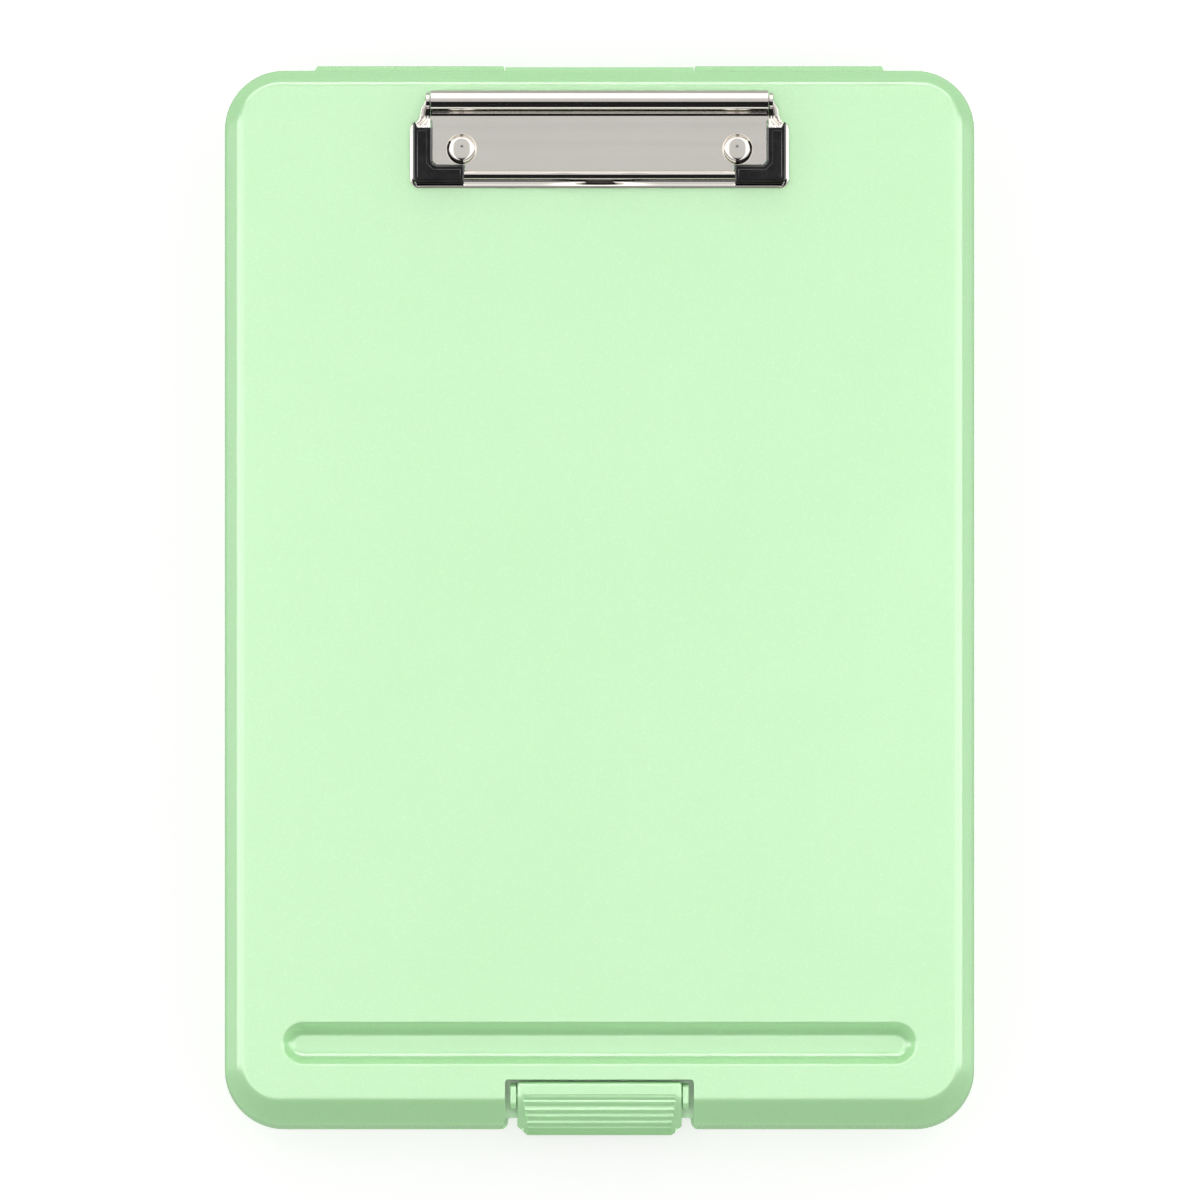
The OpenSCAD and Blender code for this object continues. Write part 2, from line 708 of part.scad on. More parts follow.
// The rod turns with the jaw; each spring's tail hooks into a cross hole in it.
module clip_rod() {
    end = eye_in + eye_t;
    color(steel) difference() {
        union() {
            translate([-end, roll_y, roll_z]) rotate([0, 90, 0]) cylinder(r = rod_r, h = 2 * end);
            for (x = [-1, 1]) translate([x * (end + rod_head_t / 2), roll_y, roll_z])
                rotate([0, 90, 0]) cylinder(r = rod_head_r, h = rod_head_t, center = true);
        }
        for (x = [-1, 1]) translate([x * coil_x, roll_y, roll_z])
            cylinder(r = wire_r + run_gap, h = 4 * rod_r, center = true);
    }
}

// Points of ring i along a coil that starts at the top and advances along +X.
function coil_ring(i) = let (a = 360 * i / coil_rings, c = cos(a), s = sin(a))
    [for (j = [0:coil_sides - 1]) let (b = 360 * j / coil_sides, r = coil_r + wire_r * cos(b))
        [coil_pitch * i / coil_rings + wire_r * sin(b), r * s, r * c]];

module coil() {
    rings = coil_turns * coil_rings;
    n = coil_sides;
    polyhedron(
        points = [for (i = [0:rings]) each coil_ring(i)],
        faces = concat(
            [[for (j = [0:n - 1]) j], [for (j = [n - 1:-1:0]) rings * n + j]],
            [for (i = [0:rings - 1], j = [0:n - 1])
                [i * n + j, (i + 1) * n + j, (i + 1) * n + (j + 1) % n, i * n + (j + 1) % n]]));
}

// One spring: its inner tail goes down through the rod, and its outer tail bears on
// the inside of the roll's curled rear end.
module clip_spring() {
    translate([coil_x, roll_y, roll_z]) coil();
    translate([coil_x, roll_y, roll_z - rod_r]) cylinder(r = wire_r, h = rod_r + coil_r);
    translate([coil_x + coil_turns * coil_pitch, roll_y + coil_r, roll_z - 1])
        cylinder(r = wire_r, h = 1 + eps);
}

module clip_springs() {
    color(steel) {
        clip_spring();
        mirror([1, 0, 0]) clip_spring();
    }
}

// A moulded corner grip: an L-shaped block round the jaw's sheet at one corner.
module grip_block() {
    top = jaw_top + 1.1;
    outer = jaw_half - jaw_t - eps;
    front = jaw_front + 0.9;
    chamfer = 2.2;
    translate([0, 0, face_z + 0.25]) linear_extrude(top - 0.25) difference() {
        polygon([[grip_leg_x, front], [outer - 1.4, front], [outer, front + chamfer],
                 [outer, grip_rear], [outer - 3.8, grip_rear], [grip_in_x, grip_rear],
                 [grip_in_x, grip_inner_y + 1.2], [grip_in_x - 1.2, grip_inner_y],
                 [grip_leg_x, grip_inner_y]]);
    }
}

module grip_right() {
    color(black) difference() {
        grip_block();
        jaw_frame();
    }
}

module grip_left() {
    color(black) mirror([1, 0, 0]) difference() {
        grip_block();
        jaw_frame();
    }
}

// A rivet: domed head on the plate, shank through the lid, clinched foot on the washer.
module rivet() {
    dome_r = (pow(rivet_head_d / 2, 2) + pow(rivet_head_h, 2)) / (2 * rivet_head_h);
    foot_z = ceiling_z - washer_t;
    translate([0, 0, face_z + sheet_t]) intersection() {
        translate([0, 0, rivet_head_h - dome_r]) sphere(r = dome_r, $fn = 128);
        cylinder(r = rivet_head_d, h = 2 * rivet_head_h);
    }
    translate([0, 0, foot_z - eps]) cylinder(r = rivet_r, h = face_z + sheet_t - foot_z + 2 * eps);
    translate([0, 0, foot_z - rivet_foot_h]) cylinder(r1 = rivet_foot_r - 0.5, r2 = rivet_foot_r, h = rivet_foot_h);
}

module rivets() {
    color(polished) for (x = [-1, 1]) translate([x * rivet_pitch / 2, rivet_y, 0]) rivet();
}

module rivet_washers() {
    color(steel) for (x = [-1, 1]) translate([x * rivet_pitch / 2, rivet_y, ceiling_z - washer_t])
        difference() {
            cylinder(r = washer_r, h = washer_t);
            translate([0, 0, -over]) cylinder(r = rivet_r + run_gap, h = washer_t + 2 * over);
        }
}

base_tray();
catch_wall();
lid();
hinge_pin();
latch();
clip_plate();
clip_jaw();
clip_rod();
clip_springs();
grip_left();
grip_right();
rivets();
rivet_washers();
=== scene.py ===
# %% [markdown]
# # A storage clipboard box
# The object is a shallow case for letter paper. Its lid is the writing board, with a paper
# clip, a pen groove and a latch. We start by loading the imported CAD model, because each Blender
# piece below is built in its frame, where Z points out of the writing face and Y points to the
# hinge. Whatever turns, turns about the model's own pivots. We think in millimetres and turn to
# metres at the end.

# %% Load the frame
import json
import math

import bmesh
import bpy
from mathutils import Matrix, Vector


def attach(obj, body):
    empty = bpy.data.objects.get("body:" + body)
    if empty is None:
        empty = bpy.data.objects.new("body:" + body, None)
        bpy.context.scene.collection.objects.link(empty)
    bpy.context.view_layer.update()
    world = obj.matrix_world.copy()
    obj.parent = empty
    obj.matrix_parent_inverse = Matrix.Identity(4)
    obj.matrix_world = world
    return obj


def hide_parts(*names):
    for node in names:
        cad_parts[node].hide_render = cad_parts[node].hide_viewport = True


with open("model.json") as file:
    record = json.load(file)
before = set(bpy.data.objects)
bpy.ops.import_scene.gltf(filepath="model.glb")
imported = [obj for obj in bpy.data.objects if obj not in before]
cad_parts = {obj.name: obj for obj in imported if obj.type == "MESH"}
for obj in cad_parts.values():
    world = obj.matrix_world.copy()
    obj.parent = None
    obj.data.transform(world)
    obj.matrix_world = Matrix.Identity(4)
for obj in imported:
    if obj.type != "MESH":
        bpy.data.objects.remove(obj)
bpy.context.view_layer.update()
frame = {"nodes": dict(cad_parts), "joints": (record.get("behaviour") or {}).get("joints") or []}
MM = 0.001


def pivot(name):
    """The y and z that a joint turns about, in millimetres."""
    joint = next(j for j in frame["joints"] if j["name"] == name)
    return [round(v / MM, 3) for v in joint["pos_m"][1:]]


HINGE_Y, HINGE_Z = pivot("lid_hinge")
PIVOT_Y, PIVOT_Z = pivot("latch_pivot")
ROLL_Y, ROLL_Z = pivot("clip_jaw_pivot")
print("frame:", len(frame["nodes"]), "nodes; the lid turns about", HINGE_Y, HINGE_Z)

# %% [markdown]
# ## Mesh helpers
# Moulded and folded things are easy to describe by loops: a loop is the outline of the piece
# at one height, and a skin over several loops is its surface. Where one form cuts into
# another, a boolean does what the mould or the punch did. Real edges are never sharp, so the
# edges that catch light are rounded with a bevel afterwards.

# %% Loops and skins
def arc(u, v, radius, start, stop, steps):
    """Points on a circle about (u, v), from one angle to another in degrees."""
    turn = [math.radians(start + (stop - start) * i / steps) for i in range(steps + 1)]
    return [(u + radius * math.cos(a), v + radius * math.sin(a)) for a in turn]


def circle(u, v, radius, sides):
    """A whole circle, without its first point repeated at the end."""
    return arc(u, v, radius, 0, 360 - 360 / sides, sides - 1)


def bend(a, b, c, steps):
    """A soft corner: a curve from a to c that is pulled towards b."""
    curve = []
    for i in range(steps + 1):
        t = i / steps
        curve.append(tuple((1 - t) ** 2 * p + 2 * t * (1 - t) * q + t * t * r
                           for p, q, r in zip(a, b, c)))
    return curve


def put(name, data):
    """A new object in the scene that holds a mesh, a curve, a lamp or a camera."""
    thing = bpy.data.objects.new(name, data)
    bpy.context.scene.collection.objects.link(thing)
    return thing


def skin(name, loops):
    """A closed solid skinned over loops with equal counts of points, in millimetres."""
    bm = bmesh.new()
    rings = [[bm.verts.new(p) for p in loop] for loop in loops]
    count = len(rings[0])
    for low, high in zip(rings, rings[1:]):
        for i in range(count):
            j = (i + 1) % count
            bm.faces.new((low[i], low[j], high[j], high[i]))
    bm.faces.new(rings[0][::-1])
    bm.faces.new(rings[-1])
    if bm.calc_volume(signed=True) < 0:
        bmesh.ops.reverse_faces(bm, faces=bm.faces)
    mesh = bpy.data.meshes.new(name)
    bm.to_mesh(mesh)
    bm.free()
    return put(name, mesh)


def plank(name, plan, low, high):
    """A plan outline of x and y pulled up from one height to another."""
    return skin(name, [[(x, y, z) for x, y in plan] for z in (low, high)])


def bar(name, section, left, right):
    """A section of y and z pulled along X."""
    return skin(name, [[(x, y, z) for y, z in section] for x in (left, right)])


def block(name, x0, x1, y0, y1, z0, z1):
    """A plain box between six limits, used to cut."""
    return plank(name, [(x0, y0), (x1, y0), (x1, y1), (x0, y1)], z0, z1)


print("a quarter circle:", [(round(u, 2), round(v, 2)) for u, v in arc(0, 0, 1, 0, 90, 4)])


# %% [markdown]
# A boolean leaves slivers and doubled points, so before edges are rounded the mesh is welded
# and its flat parts are made single faces again. Only the edges that a mould or a die really
# rounds are picked.

# %% Cutting, joining and rounding
WELD = 0.0001  # points nearer than this, in millimetres, are one
LEVEL = 0.4  # faces that turn by less than this, in degrees, are one


def combine(target, tool, operation):
    """Cuts the tool from the target or joins it on, and removes the tool."""
    step = target.modifiers.new(operation, "BOOLEAN")
    step.object, step.operation, step.solver = tool, operation, "MANIFOLD"
    shape = target.evaluated_get(bpy.context.evaluated_depsgraph_get())
    mesh = bpy.data.meshes.new_from_object(shape)
    target.modifiers.clear()
    target.data = mesh
    bpy.data.objects.remove(tool)


def round_edges(piece, radius, pick=lambda middle, faces: True, steps=3, sharper=28):
    """Rounds the edges that pick chooses, of those that turn by more than sharper degrees."""
    bm = bmesh.new()
    bm.from_mesh(piece.data)
    bmesh.ops.remove_doubles(bm, verts=bm.verts, dist=WELD)
    bmesh.ops.dissolve_limit(bm, angle_limit=math.radians(LEVEL), verts=bm.verts, edges=bm.edges)
    chosen = [e for e in bm.edges if len(e.link_faces) == 2
              and e.calc_face_angle() > math.radians(sharper)
              and pick((e.verts[0].co + e.verts[1].co) / 2, e.link_faces)]
    bmesh.ops.bevel(bm, geom=chosen, offset=radius, segments=steps, profile=0.5,
                    affect="EDGES", clamp_overlap=True)
    bm.to_mesh(piece.data)
    bm.free()
    return piece


def mirrored(piece, name):
    """A copy of the piece, mirrored from right to left."""
    mesh = piece.data.copy()
    mesh.transform(Matrix.Diagonal((-1, 1, 1, 1)))
    mesh.flip_normals()
    return put(name, mesh)


def fit(piece, body, material, replaced, crease=32):
    """Gives a finished piece its size in metres, smooth shading, finish and body."""
    piece.data.transform(Matrix.Scale(MM, 4))
    piece.data.polygons.foreach_set("use_smooth", [True] * len(piece.data.polygons))
    piece.data.set_sharp_from_angle(angle=math.radians(crease))
    flat = piece.modifiers.new("keep flats flat", "WEIGHTED_NORMAL")
    flat.keep_sharp = True
    piece.data.materials.clear()
    piece.data.materials.append(material)
    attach(piece, body)
    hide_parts(*replaced)
    print(piece.name, "has", len(piece.data.polygons), "faces and rides on", body)


print("points within", WELD, "mm are welded")


# %% [markdown]
# ## Colours and nodes
# Hex colours are written for a screen, and a shader works in linear light, so one function
# turns them. A second one adds a node, sets it and links it. Every finish here varies in
# colour, in gloss and in height, and a last one feeds those three to the shader.

# %% Colour and node helpers
def linear(code):
    """The linear colour of an sRGB hex code."""
    parts = [int(code[i:i + 2], 16) / 255 for i in (1, 3, 5)]
    return tuple(p / 12.92 if p <= 0.04045 else ((p + 0.055) / 1.055) ** 2.4
                 for p in parts) + (1.0,)


def add(tree, kind, settings=None, links=None):
    """Adds a shader node. A setting is a socket's value or a property, a link feeds a socket."""
    node = tree.nodes.new("ShaderNode" + kind)
    for key, value in (settings or {}).items():
        if isinstance(key, int) or key in node.inputs:
            node.inputs[key].default_value = value
        else:
            setattr(node, key, value)
    for key, source in (links or {}).items():
        tree.links.new(source, node.inputs[key])
    return node


def new_material(name):
    """A material, its node tree, its shader and the place on the piece in metres."""
    material = bpy.data.materials.new(name)
    material.use_nodes = True
    tree = material.node_tree
    shader = tree.nodes["Principled BSDF"]
    place = add(tree, "TexCoord").outputs["Object"]
    return material, tree, shader, place


def dress(tree, shader, tone, rough, height, strength, depth_mm):
    """Feeds the shader its colour, its roughness and a bump of so many millimetres."""
    bump = add(tree, "Bump", {"Strength": strength, "Distance": depth_mm * MM},
               {"Height": height})
    tree.links.new(tone.outputs[2], shader.inputs["Base Color"])
    tree.links.new(rough.outputs["Result"], shader.inputs["Roughness"])
    tree.links.new(bump.outputs["Normal"], shader.inputs["Normal"])


print("half grey, #808080, is", round(linear("#808080")[0], 3), "in linear light")

# %% [markdown]
# ## Mint polypropylene, injection moulded
# Both shells and the latch are moulded in one plastic. The mould is lightly spark eroded,
# which gives the eye a soft gloss: a fine grain that breaks up the highlight, a little drift
# of tone where the melt cooled unevenly, and a trace of light inside thin edges.

# %% Mint plastic
MINT, PALE_MINT = "#A8D9A1", "#AEDDA8"
DRIFT_MM, FLOW_MM = 60, 25  # width of the drift of tone, and of the sinks of the melt


def mint_plastic(name, grain_mm, gloss):
    material, tree, shader, place = new_material(name)
    drift = add(tree, "TexNoise", {"Scale": 1 / (DRIFT_MM * MM), "Detail": 2.0},
                {"Vector": place})
    tone = add(tree, "Mix", {"data_type": "RGBA", 6: linear(MINT), 7: linear(PALE_MINT)},
               {0: drift.outputs["Fac"]})
    # the eroded grain is about 0.05 mm, drawn coarser so that it shows
    grain = add(tree, "TexNoise", {"Scale": 1 / (grain_mm * MM), "Detail": 3.0,
                                   "Roughness": 0.6}, {"Vector": place})
    rough = add(tree, "MapRange", {"From Min": 0.3, "From Max": 0.7,
                                   "To Min": gloss - 0.05, "To Max": gloss + 0.06},
                {"Value": grain.outputs["Fac"]})
    sink = add(tree, "TexNoise", {"Scale": 1 / (FLOW_MM * MM), "Detail": 1.0},
               {"Vector": place})
    height = add(tree, "Math", {"operation": "MULTIPLY_ADD", 1: 0.08},
                 {0: grain.outputs["Fac"], 2: sink.outputs["Fac"]})
    dress(tree, shader, tone, rough, height.outputs["Value"], 0.035, 0.25)
    # polypropylene: it bends light by 1.49 and lets a little of it travel in thin edges
    shader.inputs["IOR"].default_value = 1.49
    shader.inputs["Subsurface Weight"].default_value = 0.15
    shader.inputs["Subsurface Radius"].default_value = (1.0, 2.0, 0.9)
    shader.inputs["Subsurface Scale"].default_value = 1.2 * MM
    return material


lid_mint = mint_plastic("mint polypropylene, spark-eroded mould", 0.45, 0.24)
tray_mint = mint_plastic("mint polypropylene, tray moulding", 0.6, 0.28)
latch_mint = mint_plastic("mint polypropylene, latch moulding", 0.4, 0.24)
print("mint plastics:", lid_mint.name, "/", tray_mint.name, "/", latch_mint.name)

# %% [markdown]
# ## Nickel-chrome plate on rolled sheet
# The clip is cold-rolled sheet that was buffed along its length and plated. It mirrors the
# room, and what tells the eye that it is metal is how the mirrored edges waver: the sheet is
# never quite flat, and buffing leaves faint lines along it.

# %% Bright plate
CHROME, WARM_CHROME = "#ECE7E0", "#F4EFE8"
TINT_MM = 30  # width of the faint drift of the plate's tint
BUFF_MM, BUFF_RUN = 0.35, 40  # width of a buffing line, and how many widths it runs along X


def bright_plate(name, wave_mm, wave_depth, gloss):
    material, tree, shader, place = new_material(name)
    shader.inputs["Metallic"].default_value = 1.0
    tint = add(tree, "TexNoise", {"Scale": 1 / (TINT_MM * MM), "Detail": 2.0},
               {"Vector": place})
    tone = add(tree, "Mix", {"data_type": "RGBA", 6: linear(CHROME), 7: linear(WARM_CHROME)},
               {0: tint.outputs["Fac"]})
    # buffing lines are some 0.05 mm wide, drawn coarser so that they show
    along = add(tree, "Mapping", {"Scale": (1 / BUFF_RUN, 1.0, 1.0)}, {"Vector": place})
    lines = add(tree, "TexNoise", {"Scale": 1 / (BUFF_MM * MM), "Detail": 3.0},
                {"Vector": along.outputs["Vector"]})
    rough = add(tree, "MapRange", {"From Min": 0.3, "From Max": 0.75,
                                   "To Min": gloss - 0.01, "To Max": gloss + 0.03},
                {"Value": lines.outputs["Fac"]})
    waves = add(tree, "TexNoise", {"Scale": 1 / (wave_mm * MM), "Detail": 1.0},
                {"Vector": along.outputs["Vector"]})
    height = add(tree, "Math", {"operation": "MULTIPLY_ADD", 1: 0.002},
                 {0: lines.outputs["Fac"], 2: waves.outputs["Fac"]})
    dress(tree, shader, tone, rough, height.outputs["Value"], 1.0, wave_depth)
    return material


plate_chrome = bright_plate("nickel-chrome plate, buffed sheet", 5.0, 0.012, 0.07)
jaw_chrome = bright_plate("nickel-chrome plate, bent frame", 2.0, 0.03, 0.06)
rivet_chrome = bright_plate("nickel-chrome plate, headed rivet", 3.0, 0.004, 0.04)
print("plated finishes:", plate_chrome.name, "/", jaw_chrome.name, "/", rivet_chrome.name)

# %% [markdown]
# ## Drawn steel wire
# The hinge pin, the rod and the springs are drawn wire. Drawing leaves fine lines along the
# wire and a duller shine than plating does.

# %% Wire and zinc
WORN_STEEL = "#CFCFCB"
DRAW_MM, DRAW_RUN = 0.2, 25  # width of a drawing line, and how many widths it runs


def drawn_steel(name, colour, gloss):
    material, tree, shader, place = new_material(name)
    shader.inputs["Metallic"].default_value = 1.0
    # the die leaves lines of some 0.02 mm, drawn coarser so that they show
    along = add(tree, "Mapping", {"Scale": (1 / DRAW_RUN, 1.0, 1.0)}, {"Vector": place})
    lines = add(tree, "TexNoise", {"Scale": 1 / (DRAW_MM * MM), "Detail": 4.0},
                {"Vector": along.outputs["Vector"]})
    tone = add(tree, "Mix", {"data_type": "RGBA", 6: linear(colour), 7: linear(WORN_STEEL)},
               {0: lines.outputs["Fac"]})
    rough = add(tree, "MapRange", {"To Min": gloss, "To Max": gloss + 0.15},
                {"Value": lines.outputs["Fac"]})
    dress(tree, shader, tone, rough, lines.outputs["Fac"], 0.3, 0.02)
    return material


pin_steel = drawn_steel("drawn steel wire, hinge pin", "#A9A9A4", 0.25)
rod_steel = drawn_steel("drawn steel wire, plated rod", "#BDBCB8", 0.18)
spring_steel = drawn_steel("music wire, oil tempered", "#8F8F8A", 0.28)
washer_zinc = drawn_steel("zinc-plated washer steel", "#B5B8BA", 0.35)
print("wire finishes:", pin_steel.name, "/", rod_steel.name, "/", spring_steel.name)

# %% [markdown]
# ## Black vinyl, dip moulded
# The jaw's corners wear glossy black vinyl. It is nearly a mirror for a lamp that grazes it,
# with a faint orange peel from the dip and small dull rubs on the edges that paper touches.

# %% Black vinyl
VINYL, RUBBED_VINYL = "#030303", "#0C0C0C"
PEEL_MM, RUB_MM = 1.6, 5  # width of the orange peel, and of the dull rubs


def black_vinyl(name):
    material, tree, shader, place = new_material(name)
    peel = add(tree, "TexNoise", {"Scale": 1 / (PEEL_MM * MM), "Detail": 2.0},
               {"Vector": place})
    rub = add(tree, "TexNoise", {"Scale": 1 / (RUB_MM * MM), "Detail": 5.0, "Roughness": 0.7},
              {"Vector": place})
    tone = add(tree, "Mix", {"data_type": "RGBA", 6: linear(VINYL), 7: linear(RUBBED_VINYL)},
               {0: rub.outputs["Fac"]})
    rough = add(tree, "MapRange", {"From Min": 0.4, "From Max": 0.8, "To Min": 0.1,
                                   "To Max": 0.2}, {"Value": rub.outputs["Fac"]})
    dress(tree, shader, tone, rough, peel.outputs["Fac"], 0.15, 0.1)
    shader.inputs["IOR"].default_value = 1.53
    # half the usual mirror, because the white walls would turn the black to grey
    shader.inputs["Specular IOR Level"].default_value = 0.25
    return material


grip_vinyl = black_vinyl("black vinyl, dip moulded")
print("grip finish:", grip_vinyl.name)

# %% [markdown]
# ## The case's outline
# Both shells share one plan: a rounded rectangle of 240 mm by 339 mm. Every loop of the shells
# is that rectangle, drawn in by so much at the sides, the hinge edge and the latch edge.

# %% Outline
HALF_W, HALF_L, CORNER = 120.0, 169.5, 19.0
# heights of the tray's rim, the lid's lower edge and the writing face
PART_Z, LID_Z, FACE = 15.5, 15.65, 25.0


def outline(z, side, rear, front, radius, steps=16):
    """The rounded rectangle at height z, drawn in by side, rear and front."""
    x, back, near = HALF_W - side - radius, HALF_L - rear - radius, HALF_L - front - radius
    loop = []
    for cx, cy, start in ((x, back, 0), (-x, back, 90), (-x, -near, 180), (x, -near, 270)):
        loop += [(px, py, z) for px, py in arc(cx, cy, radius, start, start + 90, steps)]
    return loop


def notch_plan(half, back, corner=2.5, inner=1.2, clear=4):
    """Plan of the notch in the latch edge, with rounded corners outside and inside."""
    front = -HALF_L - 0.1
    right = [(half + corner + clear, front - clear), (half + corner, front)]
    right += arc(half + corner, front + corner, corner, 270, 180, 8)[1:]
    right += arc(half - inner, back - inner, inner, 0, 90, 6)
    return right + [(-x, y) for x, y in right[::-1]]


print("outline loop has", len(outline(0, 0, 0, 0, CORNER)), "points")

# %% [markdown]
# ## The lid
# The lid is one moulding. Its edge has three parts: an upright wall, a broad bevel that a hand
# can rest on, and a soft corner into the flat writing face. The bevel is 4.8 mm wide at the
# sides, 3.4 mm at the hinge and 7.2 mm at the latch. One profile function gives all of them,
# so the corners blend by themselves.

# %% Lid skin
WALL_TOP, LEAN, FRONT_LEAN = 20.25, 0.15, 1.4
SIDE_BEVEL, REAR_BEVEL, FRONT_BEVEL = 4.8, 3.4, 7.2
BROW, FRONT_BROW = 1.4, 2.1  # how far the soft corner reaches into the face


def edge_profile(lean, bevel, soften):
    """Inset and height from the wall's foot to the writing face, for one edge."""
    slope = bevel / (FACE - WALL_TOP)
    foot = bend((0.3, LID_Z), (0.0, LID_Z), (0.0, LID_Z + 0.3), 3)
    kink = bend((lean * 0.83, WALL_TOP - 0.8), (lean, WALL_TOP),
                (lean + slope * 0.7, WALL_TOP + 0.7), 5)
    brow = bend((lean + bevel - slope * 1.1, FACE - 1.1), (lean + bevel, FACE),
                (lean + bevel + soften, FACE), 9)
    return foot + kink + brow


def lid_skin(name):
    """The outer skin: loops whose corners grow tighter as the bevel draws in."""
    sides = edge_profile(LEAN, SIDE_BEVEL, BROW)
    rears = edge_profile(LEAN, REAR_BEVEL, BROW)
    fronts = edge_profile(FRONT_LEAN, FRONT_BEVEL, FRONT_BROW)
    return skin(name, [outline(s[1], s[0], r[0], f[0], CORNER - 1.3 * max(s[0] - LEAN, 0))
                       for s, r, f in zip(sides, rears, fronts)])


lid = lid_skin("lid_board")
# the inside follows the outside, 2 mm below it
hollow = skin("hollow", [outline(LID_Z - 1, 2, 2, 2, CORNER - 2),
                         outline(WALL_TOP, 2.15, 2.15, 3.4, CORNER - 2),
                         outline(22.2, 4.2, 3.3, 7.6, 15.2),
                         outline(22.8, 5.2, 4.2, 9.0, 13.8),
                         outline(23.0, 6.2, 5.2, 10.2, 12.8)])
print("lid skin:", len(lid.data.polygons), "faces")

# %% [markdown]
# ### Pen groove
# A pen rests in a trough along the latch edge. Its rim is soft, the wall is steep and the
# bottom is a broad hollow, so its section is two arcs with a short straight between them. The
# skin under the trough is left standing where the hollow is cut.

# %% Pen groove
GROOVE_Y, GROOVE_HALF, GROOVE_END = -142.0, 7.2, 94.75


def stadium(radius, z, steps=16):
    """A loop with two straight sides and round ends."""
    right = arc(GROOVE_END, GROOVE_Y, radius, -90, 90, steps)
    left = arc(-GROOVE_END, GROOVE_Y, radius, 90, 270, steps)
    return [(x, y, z) for x, y in right + left]


def groove_section(steep=56, rim=1.3, straight=1.55, hollow_r=3.6):
    """Radius and depth from the rim to the trough's floor."""
    path = [(GROOVE_HALF, -1.0)]
    for i in range(7):
        a = math.radians(steep * i / 6)
        path.append((GROOVE_HALF - rim * math.sin(a), rim * (1 - math.cos(a))))
    x, depth = path[-1]
    a = math.radians(steep)
    x, depth = x - straight * math.cos(a), depth + straight * math.sin(a)
    for i in range(13):
        b = math.radians(steep * (1 - i / 12))
        path.append((x - hollow_r * (math.sin(a) - math.sin(b)),
                     depth + hollow_r * (math.cos(b) - math.cos(a))))
    return path


under = skin("under", [stadium(5.2, 19.4), stadium(6.4, 19.9), stadium(7.6, 21.0),
                       stadium(9.0, 22.9), stadium(9.0, 24.0)])
combine(hollow, under, "DIFFERENCE")
PROUD = 0.003  # the cut starts this far above the face, so that no two faces lie in one plane
trough = skin("trough", [stadium(r, FACE + PROUD - depth) for r, depth in groove_section()])
print("groove is", round(groove_section()[-1][1], 2), "mm deep")

# %% [markdown]
# ### Latch notch
# The latch sits in a notch 60.5 mm wide. The notch is closed towards the inside by a pocket,
# so that small things cannot fall out, and its edges are rounded because the mould is.

# %% Notch
NOTCH_HALF, NOTCH_BACK, NOTCH_WALL = 30.25, -153.5, 2
SHELF_Z, CATCH_Y = 17.3, -165.85  # the shelf behind the latch, and the wall below it
pocket = block("pocket", -NOTCH_HALF - NOTCH_WALL, NOTCH_HALF + NOTCH_WALL,
               -HALF_L - 5, NOTCH_BACK + NOTCH_WALL, 10, 30)
combine(hollow, pocket, "DIFFERENCE")
combine(lid, hollow, "DIFFERENCE")
combine(lid, trough, "DIFFERENCE")
combine(lid, plank("upper", notch_plan(NOTCH_HALF, NOTCH_BACK), SHELF_Z, FACE + 2), "DIFFERENCE")
combine(lid, plank("lower", notch_plan(NOTCH_HALF, CATCH_Y), LID_Z - 2, SHELF_Z + 0.01),
        "DIFFERENCE")


def notch_rim(middle, faces):
    """True on the notch's upper rim: one face is upright and one belongs to the skin."""
    upright = min(abs(f.normal.z) for f in faces)
    other = max(f.normal.z for f in faces)
    inside = abs(middle.x) < NOTCH_HALF + 3.75 and middle.y < -153
    return inside and middle.z > SHELF_Z + 0.3 and upright < 0.02 < other


round_edges(lid, 0.55, notch_rim, steps=4)
print("lid with groove and notch:", len(lid.data.polygons), "faces")

# %% [markdown]
# ### Ears and middle knuckle
# Two ears stand on the notch's shelf and hold the latch by its trunnions. At the other edge a
# barrel under the wall turns on the hinge pin.

# %% Ears and knuckle
EAR_IN, EAR_OUT = 26.6, 28.6
EAR_FOOT = SHELF_Z - 0.2  # sunk a little, so that ear and shelf become one
ear_section = [(PIVOT_Y + 4, EAR_FOOT)] + arc(PIVOT_Y + 2, PIVOT_Z, 2, 0, 90, 6)
ear_section += arc(PIVOT_Y - 2, PIVOT_Z, 2, 90, 180, 6) + [(PIVOT_Y - 4, EAR_FOOT)]
for side in (1, -1):
    ear = bar("ear", ear_section, *sorted((side * EAR_IN, side * EAR_OUT)))
    combine(lid, round_edges(ear, 0.35, lambda m, f: m.z > SHELF_Z + 0.2, steps=3), "UNION")
BARREL_HALF, BARREL_R = 30.2, 2.6
barrel = bar("barrel", arc(HINGE_Y, HINGE_Z, BARREL_R, 180, 360, 20) + [
    (HINGE_Y + BARREL_R, 18.7), (HINGE_Y + 1.25, 19.9), (HINGE_Y - 0.4, 19.9),
    (HINGE_Y - 1.2, 18.7), (HINGE_Y - 1.2, HINGE_Z + 2.3), (HINGE_Y - 2.1, HINGE_Z + 1.5)],
    -BARREL_HALF, BARREL_HALF)
combine(lid, round_edges(barrel, 0.3, lambda m, f: m.z < 18.5, steps=2), "UNION")
bore = bar("bore", circle(HINGE_Y, HINGE_Z, 1.3, 24), -40, 40)
combine(lid, bore, "DIFFERENCE")
fit(lid, "lid", lid_mint, ["lid"], crease=26)

# %% [markdown]
# ## The tray
# The tray is the deep half of the case: walls with a little draft, a rounded bottom edge so
# that it sits softly in the hand, and a lip that finds its place inside the lid. Behind the
# latch its front wall steps back, and the latch's nib hooks under a rib there.

# %% Tray skin
REAR_STEP = 3.4  # the rear wall stands this far inside the lid, behind the hinge
FOOT_R, DRAFT = 4, 1.2  # size of the rounded bottom edge, and lean of the wall


